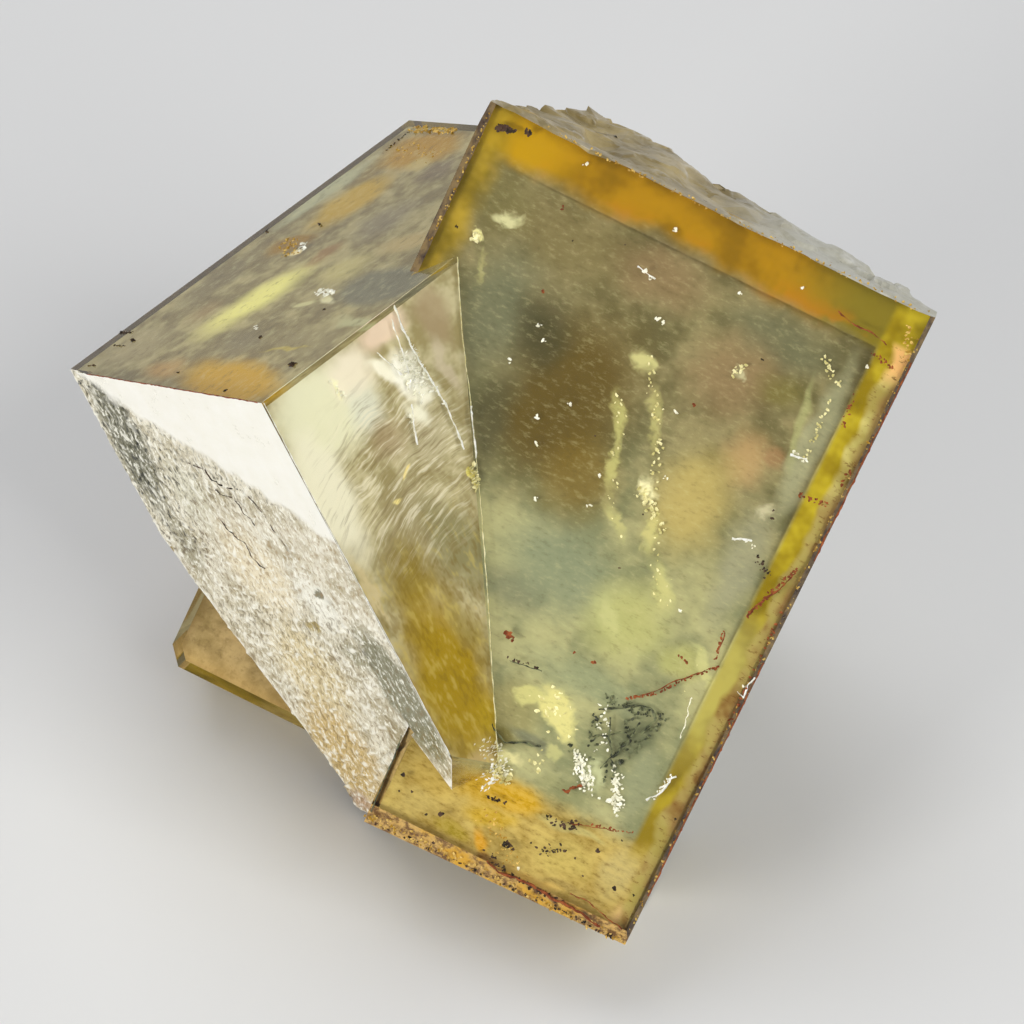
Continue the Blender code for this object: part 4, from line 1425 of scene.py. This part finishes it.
# %% Finishes of the flakes
def flake_finish(name, dark, pale, size, roughness):
    """Finish of small flakes: two tones in small patches."""
    finish, shader, recipe = new_finish(name)
    tone = recipe.cloud(large_place(recipe), size, 3.0)
    recipe.feed(shader.inputs["Base Color"], recipe.mix(recipe.rise(tone, 0.38, 0.62), dark, pale))
    set_roughness(recipe, shader, tone, roughness, roughness + 0.3)
    shader.inputs["Specular IOR Level"].default_value = 0.2
    return finish


pale_flakes = flake_finish("pale_veil", (0.60, 0.55, 0.24), (0.92, 0.88, 0.56), 0.4, 0.3)
white_flakes = flake_finish("white_spark", (0.80, 0.79, 0.66), (1.0, 1.0, 0.95), 0.3, 0.15)
rust_flakes = flake_finish("rust_grain", (0.16, 0.035, 0.012), (0.36, 0.10, 0.03), 0.3, 0.5)
dark_flakes = flake_finish("dark_grain", (0.02, 0.014, 0.008), (0.10, 0.055, 0.035), 0.4, 0.4)
ochre_flakes = flake_finish("ochre_grain", (0.40, 0.22, 0.02), (0.78, 0.55, 0.16), 0.3, 0.4)
green_flakes = flake_finish(
    "dark_green_fracture", (0.025, 0.03, 0.018), (0.17, 0.19, 0.10), 0.35, 0.2)
print("flake finishes", [thing.name for thing in bpy.data.materials][-6:])

# %% [markdown]
# Pale veils hang in the clear skin and in the heart of the large cube: two long curtains
# of tiny flakes, and a few thick cream patches near the foot.

# %% Pale veils
flake_piece("pale_veils", pale_flakes, 0.3, [
    ("large", [(12.5, -8.4, -0.8), (13.7, -9.7, -0.8), (15.1, -12.2, -0.7), (15.8, -14.4, -0.6)],
     90, (0.3, 0.35, 0.25), 0.13),
    ("large", [(16.0, -15.0, -0.6), (17.1, -16.3, -0.7), (17.5, -17.6, -0.7)],
     36, (0.28, 0.3, 0.2), 0.13),
    ("large", [(11.9, -10.8, -0.8), (13.0, -12.3, -0.8), (13.6, -14.4, -0.8), (14.5, -16.6, -0.8),
     (15.4, -17.6, -0.8)],
     80, (0.28, 0.35, 0.25), 0.12),
    ("large", [(17.8, -17.8, -0.8), (19.2, -19.8, -0.8)], 26, (0.5, 0.6, 0.2), 0.11),
    ("large", [(15.4, -14.9, -0.6), (16.4, -15.5, -0.6)], 26, (0.4, 0.3, 0.15), 0.2),
    ("large", [(15.3, -26.8, -0.7), (16.4, -27.4, -0.7), (17.5, -28.6, -0.7)],
     150, (0.75, 0.55, 0.15), 0.3),
    ("large", [(16.6, -29.6, -0.6), (16.8, -31.0, -0.6)], 46, (0.45, 0.4, 0.2), 0.2),
    ("large", [(14.2, -31.2, -0.4), (15.6, -31.8, -0.3)], 110, (0.5, 0.3, 0.1), 0.15),
    ("large", [(2.6, -5.6, -0.7), (3.9, -5.0, -0.7)], 60, (0.4, 0.3, 0.15), 0.17),
    ("large", [(2.1, -6.7, -0.3)], 14, (0.18, 0.2, 0.08), 0.2),
    ("large", [(20.8, -4.4, -0.8), (22.0, -5.4, -0.8)], 22, (0.2, 0.2, 0.1), 0.12),
    ("large", [(22.0, -6.4, -0.7), (22.2, -9.6, -0.7)], 26, (0.12, 0.3, 0.1), 0.11),
    ("large", [(16.9, -7.3, -0.7), (17.4, -6.6, -0.7)], 14, (0.15, 0.2, 0.1), 0.14),
    ("large", [(21.4, -21.2, -0.7), (22.2, -24.0, -0.7)], 20, (0.3, 0.4, 0.1), 0.12),
    ("small", [(0.15, 8.9, 10.1), (0.15, 8.6, 11.0)], 20, (0.05, 0.18, 0.3), 0.24),
])

# %% [markdown]
# White sparks are tiny cleavage cracks that catch the light. They sit just under the
# faces, one or two flakes each, and thicker where the two cubes meet.

# %% White sparks
SPARKS = [
    (10.6, 4.4), (11.0, 4.6), (12.6, 6.4), (12.3, 6.3), (5.6, 0.8), (21.6, 9.4), (22.2, 9.6),
    (7.5, 10.0), (6.4, 11.7), (10.1, 12.3), (8.9, 13.7), (13.1, 15.1), (9.4, 15.0), (10.6, 17.6),
    (11.2, 1.8), (18.3, 1.6), (16.2, 13.6), (13.3, 16.7), (21.3, 14.7), (21.8, 14.8), (19.9, 19.6),
    (15.2, 10.2), (15.5, 3.2), (7.0, 9.4), (24.5, 21.6), (24.8, 21.9), (23.0, 3.8), (18.2, 35.8),
]
spark_trails = [("large", [(x, -down, -0.25)], 3, (0.12, 0.1, 0.06), 0.12) for x, down in SPARKS]
spark_trails += [
    ("large", [(18.4, -29.0, -0.4), (19.6, -30.2, -0.4)], 150, (0.42, 0.36, 0.15), 0.13),
    ("large", [(20.6, -28.8, -0.4), (21.5, -30.6, -0.4)], 110, (0.3, 0.34, 0.15), 0.13),
    ("large", [(18.5, -26.0, -0.4), (19.4, -28.2, -0.4)], 26, (0.3, 0.4, 0.15), 0.12),
    ("large", [(20.4, -30.4, -0.3), (21.6, -30.3, -0.3)], 20, (0.2, 0.1, 0.1), 0.14),
    ("large", [(23.2, -27.6, 0.0), (22.9, -29.2, 0.0)], 24, (0.07, 0.1, 0.03), 0.1),
    ("small", [(0.12, 8.1, 2.8), (0.12, 8.5, 4.8)], 130, (0.04, 0.6, 0.6), 0.17),
    ("small", [(0.2, 6.9, 5.4), (0.2, 7.0, 5.9)], 16, (0.05, 0.15, 0.2), 0.14),
    ("small", [(0.05, 9.0, 1.5), (0.05, 9.0, 4.5), (0.05, 9.1, 6.2)], 50, (0.03, 0.09, 0.1), 0.09),
    ("small", [(0.2, 4.0, 1.4), (0.2, 4.3, 2.6)], 16, (0.05, 0.1, 0.2), 0.12),
    ("small", [(0.15, 2.0, 22.8), (0.15, 2.6, 24.0)], 60, (0.05, 0.5, 0.4), 0.12),
    ("small", [(0.0, 1.2, 24.4), (0.0, 2.6, 24.6)], 50, (0.1, 0.6, 0.5), 0.15),
    ("small", [(6.2, 9.2, 0.1), (7.6, 9.4, 0.1)], 34, (0.3, 0.25, 0.05), 0.2),
    ("small", [(13.9, 12.6, 0.1), (14.6, 13.2, 0.1)], 18, (0.2, 0.15, 0.04), 0.18),
    ("small", [(8.6, 5.6, 0.1), (9.0, 5.9, 0.1)], 8, (0.2, 0.15, 0.04), 0.12),
]
flake_piece("white_sparks", white_flakes, 0.25, spark_trails)

# %% [markdown]
# A crack near the foot of the front face has healed. It shows as clouds of dark green
# flakes in the clear skin, between the bright ones made above.

# %% Healed crack
flake_piece("healed_crack", green_flakes, 0.25, [
    ("large", [(20.0, -25.2, -0.5), (20.4, -27.4, -0.5), (20.2, -29.4, -0.5)],
     80, (0.45, 0.4, 0.15), 0.15),
    ("large", [(18.4, -25.5, -0.5), (21.5, -25.1, -0.5)], 60, (0.3, 0.25, 0.15), 0.13),
    ("large", [(21.5, -25.4, -0.5), (20.5, -28.6, -0.5)], 40, (0.14, 0.3, 0.1), 0.14),
    ("large", [(18.4, -26.4, -0.5), (19.0, -28.6, -0.5)], 40, (0.3, 0.4, 0.15), 0.12),
    ("large", [(17.6, -28.6, -0.5), (18.6, -29.2, -0.5)], 14, (0.2, 0.2, 0.1), 0.14),
])

# %% [markdown]
# Rust has followed finer cracks on the surface, as dotted red brown lines and as lone
# specks.

# %% Rust lines
flake_piece("rust_lines", rust_flakes, 0.4, [
    ("large", [(19.4, -24.9, 0.0), (20.6, -24.1, 0.0), (21.6, -22.7, 0.0), (22.9, -21.3, 0.0)],
     34, (0.06, 0.06, 0.02), 0.12),
    ("large", [(22.3, -19.4, 0.0), (22.6, -21.0, 0.0)], 16, (0.05, 0.1, 0.02), 0.1),
    ("large", [(24.3, -14.8, 0.0), (23.6, -16.6, 0.0), (23.1, -18.2, 0.0)],
     36, (0.09, 0.1, 0.02), 0.13),
    ("large", [(12.3, -24.6, 0.0), (12.7, -24.8, 0.0)], 12, (0.14, 0.12, 0.02), 0.17),
    ("large", [(20.6, -31.9, 0.0), (22.8, -31.3, 0.0)], 18, (0.1, 0.06, 0.02), 0.11),
    ("large", [(18.6, -30.9, 0.0), (19.2, -30.3, 0.0)], 16, (0.1, 0.1, 0.02), 0.13),
    ("large", [(17.0, -24.0, 0.0)], 5, (0.08, 0.08, 0.02), 0.14),
    ("large", [(15.9, -24.0, 0.0)], 3, (0.05, 0.05, 0.02), 0.1),
    ("large", [(15.9, -9.5, 0.0)], 3, (0.08, 0.04, 0.02), 0.12),
    ("large", [(6.4, -7.6, 0.0)], 3, (0.03, 0.1, 0.02), 0.12),
    ("large", [(5.5, -3.3, 0.0)], 3, (0.04, 0.14, 0.02), 0.1),
    ("large", [(20.8, -21.7, 0.0), (21.4, -21.8, 0.0)], 6, (0.1, 0.06, 0.02), 0.1),
    ("large", [(22.6, -11.3, 0.0), (24.3, -11.1, 0.0)], 22, (0.2, 0.15, 0.02), 0.12),
    ("large", [(24.5, -8.8, 0.0), (24.5, -9.8, 0.0)], 12, (0.12, 0.3, 0.02), 0.12),
    ("large", [(24.6, -17.5, 0.0), (24.7, -24.0, 0.0)], 30, (0.08, 0.4, 0.02), 0.11),
    ("large", [(23.0, -3.0, 0.0), (24.0, -3.2, 0.0)], 14, (0.2, 0.12, 0.02), 0.11),
    ("large", [(23.0, -5.6, 0.0), (23.2, -7.0, 0.0)], 14, (0.12, 0.3, 0.02), 0.1),
])

# %% [markdown]
# The seam where the small cube's right face meets the large front face is a pale uneven
# line. White cracks cross the upper part of that right face, and a few bright scribbles
# sit on the edge strip.

# %% Seam and pale threads
thread_piece("seam_threads", pale_flakes, [
    ("large", [(1.7, -8.0, 0.02), (3.5, -11.3, 0.02), (6.0, -15.3, 0.02), (8.1, -18.9, 0.02)],
     70, 0.16, 0.032),
    ("large", [(8.1, -18.9, 0.02), (10.2, -22.6, 0.02), (12.2, -26.3, 0.02), (14.9, -31.2, 0.02)],
     80, 0.12, 0.042),
])
thread_piece("pale_threads", white_flakes, [
    ("large", [(5.6, -14.6, 0.05), (6.3, -15.9, 0.05), (7.0, -17.0, 0.05)], 24, 0.3, 0.07),
    ("large", [(22.7, -29.3, 0.0), (23.1, -28.7, 0.0), (23.2, -28.0, 0.0), (23.5, -27.5, 0.0)],
     24, 0.6, 0.085),
    ("large", [(24.4, -22.0, 0.0), (24.8, -22.2, 0.0), (24.7, -21.4, 0.0), (24.8, -20.9, 0.0)],
     24, 0.4, 0.08),
    ("large", [(22.4, -23.4, -0.1), (22.8, -25.6, -0.1)], 24, 0.5, 0.05),
    ("large", [(21.4, -9.6, 0.0), (22.3, -9.4, 0.0)], 14, 0.3, 0.085),
    ("large", [(20.6, -14.9, 0.0), (21.6, -14.5, 0.0)], 14, 0.5, 0.1),
    ("large", [(10.2, -4.3, 0.0), (11.3, -4.5, 0.0)], 12, 0.3, 0.06),
    ("small", [(0.0, 9.1, 0.1), (0.0, 8.9, 1.5), (0.0, 8.9, 2.8), (0.0, 9.0, 4.5),
     (0.0, 9.1, 6.2), (0.0, 8.9, 8.8)],
     60, 0.3, 0.085),
    ("small", [(0.0, 8.6, 0.6), (0.0, 8.3, 2.4), (0.0, 8.0, 3.6)], 30, 0.4, 0.06),
    ("small", [(0.0, 7.4, 5.0), (0.0, 6.6, 7.0)], 30, 0.6, 0.06),
    ("small", [(0.0, 7.0, 1.6), (0.0, 7.6, 3.4)], 30, 0.6, 0.07),
    ("small", [(0.0, 0.1, 0.05), (0.0, 0.05, 6.0), (0.0, 0.05, 14.0), (0.0, 0.05, 22.0)],
     90, 0.1, 0.04),
])

# %% [markdown]
# Brown threads are cracks that hold rust: the main rust lines, those along the foot and
# those down the right edge.

# %% Rust threads
thread_piece("rust_threads", rust_flakes, [
    ("large", [(19.7, -24.8, 0.0), (20.7, -23.7, 0.0), (21.4, -22.8, 0.0), (22.8, -21.4, 0.0)],
     50, 0.3, 0.055),
    ("large", [(22.6, -20.7, 0.0), (22.5, -19.9, 0.0), (22.4, -19.4, 0.0)], 20, 0.3, 0.05),
    ("large", [(23.1, -17.9, 0.0), (23.5, -16.9, 0.0), (24.0, -16.1, 0.0), (24.3, -15.0, 0.0)],
     34, 0.3, 0.08),
    ("large", [(16.5, -36.1, 0.0), (17.4, -36.4, 0.0), (20.0, -36.3, 0.0), (23.3, -36.6, 0.0)],
     60, 0.5, 0.10),
    ("large", [(21.2, -35.7, 0.0), (22.3, -35.7, 0.0), (24.4, -36.3, 0.0)], 40, 0.5, 0.06),
    ("large", [(19.6, -32.3, 0.0), (21.8, -31.6, 0.0)], 26, 0.5, 0.06),
    ("large", [(20.4, -1.9, 0.0), (23.4, -2.3, 0.0)], 30, 0.6, 0.06),
    ("large", [(24.9, -2.6, 0.0), (24.9, -14.0, 0.0)], 60, 0.3, 0.07),
    ("large", [(24.9, -20.0, 0.0), (24.9, -34.0, 0.0)], 60, 0.3, 0.07),
    ("small", [(0.4, 0.0, 0.0), (8.0, 0.0, 0.0), (18.0, 0.0, 0.0)], 90, 0.12, 0.045),
])

# %% [markdown]
# Dark threads outline the growth ledge on the etched face, where dirt has caught. Dark
# green ones run through the healed crack and along the step at the foot.

# %% Ledge threads and dark threads
thread_piece("ledge_threads", dark_flakes, [
    ("small", [(11.9, 0.0, 5.0), (10.2, 0.0, 5.2), (10.1, 0.0, 5.9), (9.2, 0.0, 6.2),
     (7.1, 0.0, 6.2), (6.6, 0.0, 7.0), (6.1, 0.0, 8.4), (5.7, 0.0, 9.5)],
     90, 0.35, 0.05),
    ("small", [(10.4, 0.03, 6.6), (8.6, 0.03, 7.2), (8.2, 0.03, 8.6)], 40, 0.6, 0.04),
    ("small", [(12.0, 0.03, 8.6), (10.6, 0.03, 9.8), (9.8, 0.03, 11.6)], 40, 0.7, 0.04),
])
thread_piece("dark_threads", green_flakes, [
    ("large", [(9.7, -32.1, 0.0), (9.8, -33.1, 0.0), (9.9, -35.3, 0.0), (9.95, -36.6, 0.0)],
     50, 0.16, 0.07),
    ("large", [(18.4, -26.2, -0.3), (19.5, -25.3, -0.3), (20.7, -24.9, -0.3), (21.2, -25.4, -0.3),
     (20.8, -26.4, -0.3)],
     50, 0.6, 0.09),
    ("large", [(20.6, -25.8, -0.3), (20.4, -27.1, -0.3), (19.8, -29.0, -0.3)], 40, 0.6, 0.10),
    ("large", [(19.0, -26.4, -0.3), (19.6, -27.6, -0.3), (20.4, -28.7, -0.3)], 30, 0.7, 0.07),
    ("large", [(18.6, -27.6, -0.3), (20.2, -26.6, -0.3)], 24, 0.6, 0.06),
    ("large", [(13.4, -29.4, -0.3), (14.6, -30.0, -0.3), (16.4, -29.3, -0.3)], 30, 0.6, 0.08),
    ("large", [(13.1, -25.9, 0.0), (14.8, -25.6, 0.0)], 20, 0.4, 0.05),
])

# %% [markdown]
# Dark grains sit in little pits of the faces, most of them near the foot. The lone ones
# are a list of place and size, and the crowds are trails.

# %% Dark grains
GRAINS = [
    (10.6, 34.0, 0.13), (11.4, 34.6, 0.13), (10.8, 34.9, 0.08), (13.3, 35.0, 0.16), (12.6, 35.4, 0.1),
    (18.0, 5.8, 0.08), (22.0, 13.0, 0.12), (21.9, 12.6, 0.08), (24.2, 34.3, 0.08), (23.1, 34.4, 0.16),
    (21.5, 33.0, 0.14), (20.0, 32.2, 0.1), (19.6, 33.6, 0.1), (20.6, 33.9, 0.08), (16.0, 15.8, 0.06),
    (6.7, 4.6, 0.07), (1.0, 6.6, 0.12), (16.1, 18.9, 0.08), (13.6, 36.6, 0.12), (24.4, 29.6, 0.1),
    (21.4, 34.6, 0.08), (22.4, 31.9, 0.07), (18.2, 34.2, 0.08), (9.2, 3.6, 0.05), (12.0, 13.2, 0.06),
]
grain_trails = [
    ("large", [(x, -down, 0.0)], 3, (size * 0.5, size * 0.4, 0.01), size)
    for x, down, size in GRAINS]
grain_trails += [
    ("large", [(0.8, -1.1, 0.0), (1.6, -0.8, 0.0)], 30, (0.16, 0.14, 0.01), 0.17),
    ("large", [(2.2, -0.55, 0.0), (2.4, -0.7, 0.0)], 12, (0.08, 0.12, 0.01), 0.14),
    ("large", [(15.1, -33.0, 0.0), (15.9, -32.9, 0.0)], 18, (0.2, 0.08, 0.01), 0.12),
    ("large", [(16.9, -34.9, 0.0), (17.4, -34.9, 0.0)], 22, (0.18, 0.16, 0.01), 0.13),
    ("large", [(18.6, -32.7, 0.0), (20.0, -32.3, 0.0)], 40, (0.3, 0.25, 0.01), 0.12),
    ("large", [(18.8, -34.4, 0.0), (19.8, -33.9, 0.0)], 30, (0.3, 0.25, 0.01), 0.1),
    ("large", [(16.2, -35.6, 0.0), (17.6, -36.3, 0.0), (21.0, -36.4, 0.0)],
     60, (0.25, 0.14, 0.01), 0.12),
    ("large", [(13.0, -25.8, 0.0), (14.8, -25.6, 0.0)], 14, (0.15, 0.08, 0.01), 0.11),
    ("large", [(22.2, -15.2, 0.0), (23.1, -15.8, 0.0)], 20, (0.2, 0.2, 0.01), 0.11),
    ("large", [(20.0, -36.9, -0.4), (24.4, -37.0, -0.5)], 40, (0.4, 0.1, 0.1), 0.12),
    ("large", [(10.2, -37.2, -0.6), (20.0, -37.0, -0.5)], 60, (0.4, 0.1, 0.1), 0.1),
    ("small", [(1.5, 3.3, 0.0), (1.8, 3.3, 0.0)], 12, (0.14, 0.12, 0.01), 0.18),
    ("small", [(7.3, 5.0, 0.0)], 5, (0.1, 0.06, 0.01), 0.14),
    ("small", [(4.3, 0.5, 0.0)], 5, (0.08, 0.08, 0.01), 0.12),
    ("small", [(5.0, 7.9, 0.0)], 4, (0.1, 0.03, 0.01), 0.09),
    ("small", [(17.8, 3.2, 0.0), (18.2, 3.3, 0.0)], 8, (0.1, 0.05, 0.01), 0.13),
    ("small", [(18.0, 2.7, 0.0), (19.0, 2.6, 0.0)], 12, (0.1, 0.05, 0.01), 0.1),
    ("small", [(19.0, 3.9, 0.0), (19.9, 3.6, 0.0)], 16, (0.1, 0.1, 0.01), 0.13),
    ("small", [(18.2, 0.8, 0.0), (18.7, 0.7, 0.0)], 10, (0.1, 0.05, 0.01), 0.1),
    ("small", [(18.9, 13.7, 0.0), (19.3, 13.9, 0.0)], 6, (0.1, 0.04, 0.01), 0.11),
    ("small", [(15.0, 14.8, 0.0), (15.4, 15.0, 0.0)], 6, (0.1, 0.04, 0.01), 0.11),
    ("small", [(18.3, 22.0, 0.0), (18.6, 24.0, 0.0)], 14, (0.06, 0.2, 0.01), 0.12),
    ("small", [(10.2, 1.3, 0.0)], 3, (0.08, 0.04, 0.01), 0.1),
]
flake_piece("dark_grains", dark_flakes, 0.3, grain_trails)

# %% [markdown]
# Crumbs of ochre cling to the large cube's edges and to the far end of the small cube's
# top.

# %% Ochre crumbs
flake_piece("ochre_crumbs", ochre_flakes, 0.5, [
    ("small", [(14.4, 24.4, 0.0), (18.6, 24.3, 0.0)], 90, (0.3, 0.3, 0.03), 0.14),
    ("small", [(14.2, 12.0, 0.0), (16.2, 13.4, 0.0)], 50, (0.6, 0.4, 0.02), 0.11),
    ("small", [(13.0, 21.8, 0.0), (17.6, 22.6, 0.0)], 40, (0.5, 0.6, 0.02), 0.09),
    ("large", [(9.9, -36.9, -0.3), (24.6, -36.8, -0.4)], 220, (0.3, 0.28, 0.18), 0.11),
    ("large", [(15.6, -34.0, 0.0), (17.8, -35.6, 0.0)], 50, (0.6, 0.5, 0.01), 0.1),
    ("large", [(24.7, -1.5, -0.1), (24.8, -36.0, -0.1)], 150, (0.08, 0.4, 0.08), 0.1),
    ("large", [(0.1, -0.4, -0.1), (0.1, -7.8, -0.1)], 60, (0.08, 0.3, 0.1), 0.09),
    ("large", [(3.0, 0.0, -0.1), (24.0, 0.0, -0.1)], 110, (0.4, 0.1, 0.1), 0.1),
    ("large", [(24.0, -1.2, 0.0), (24.6, -2.4, 0.0)], 20, (0.2, 0.4, 0.01), 0.12),
])
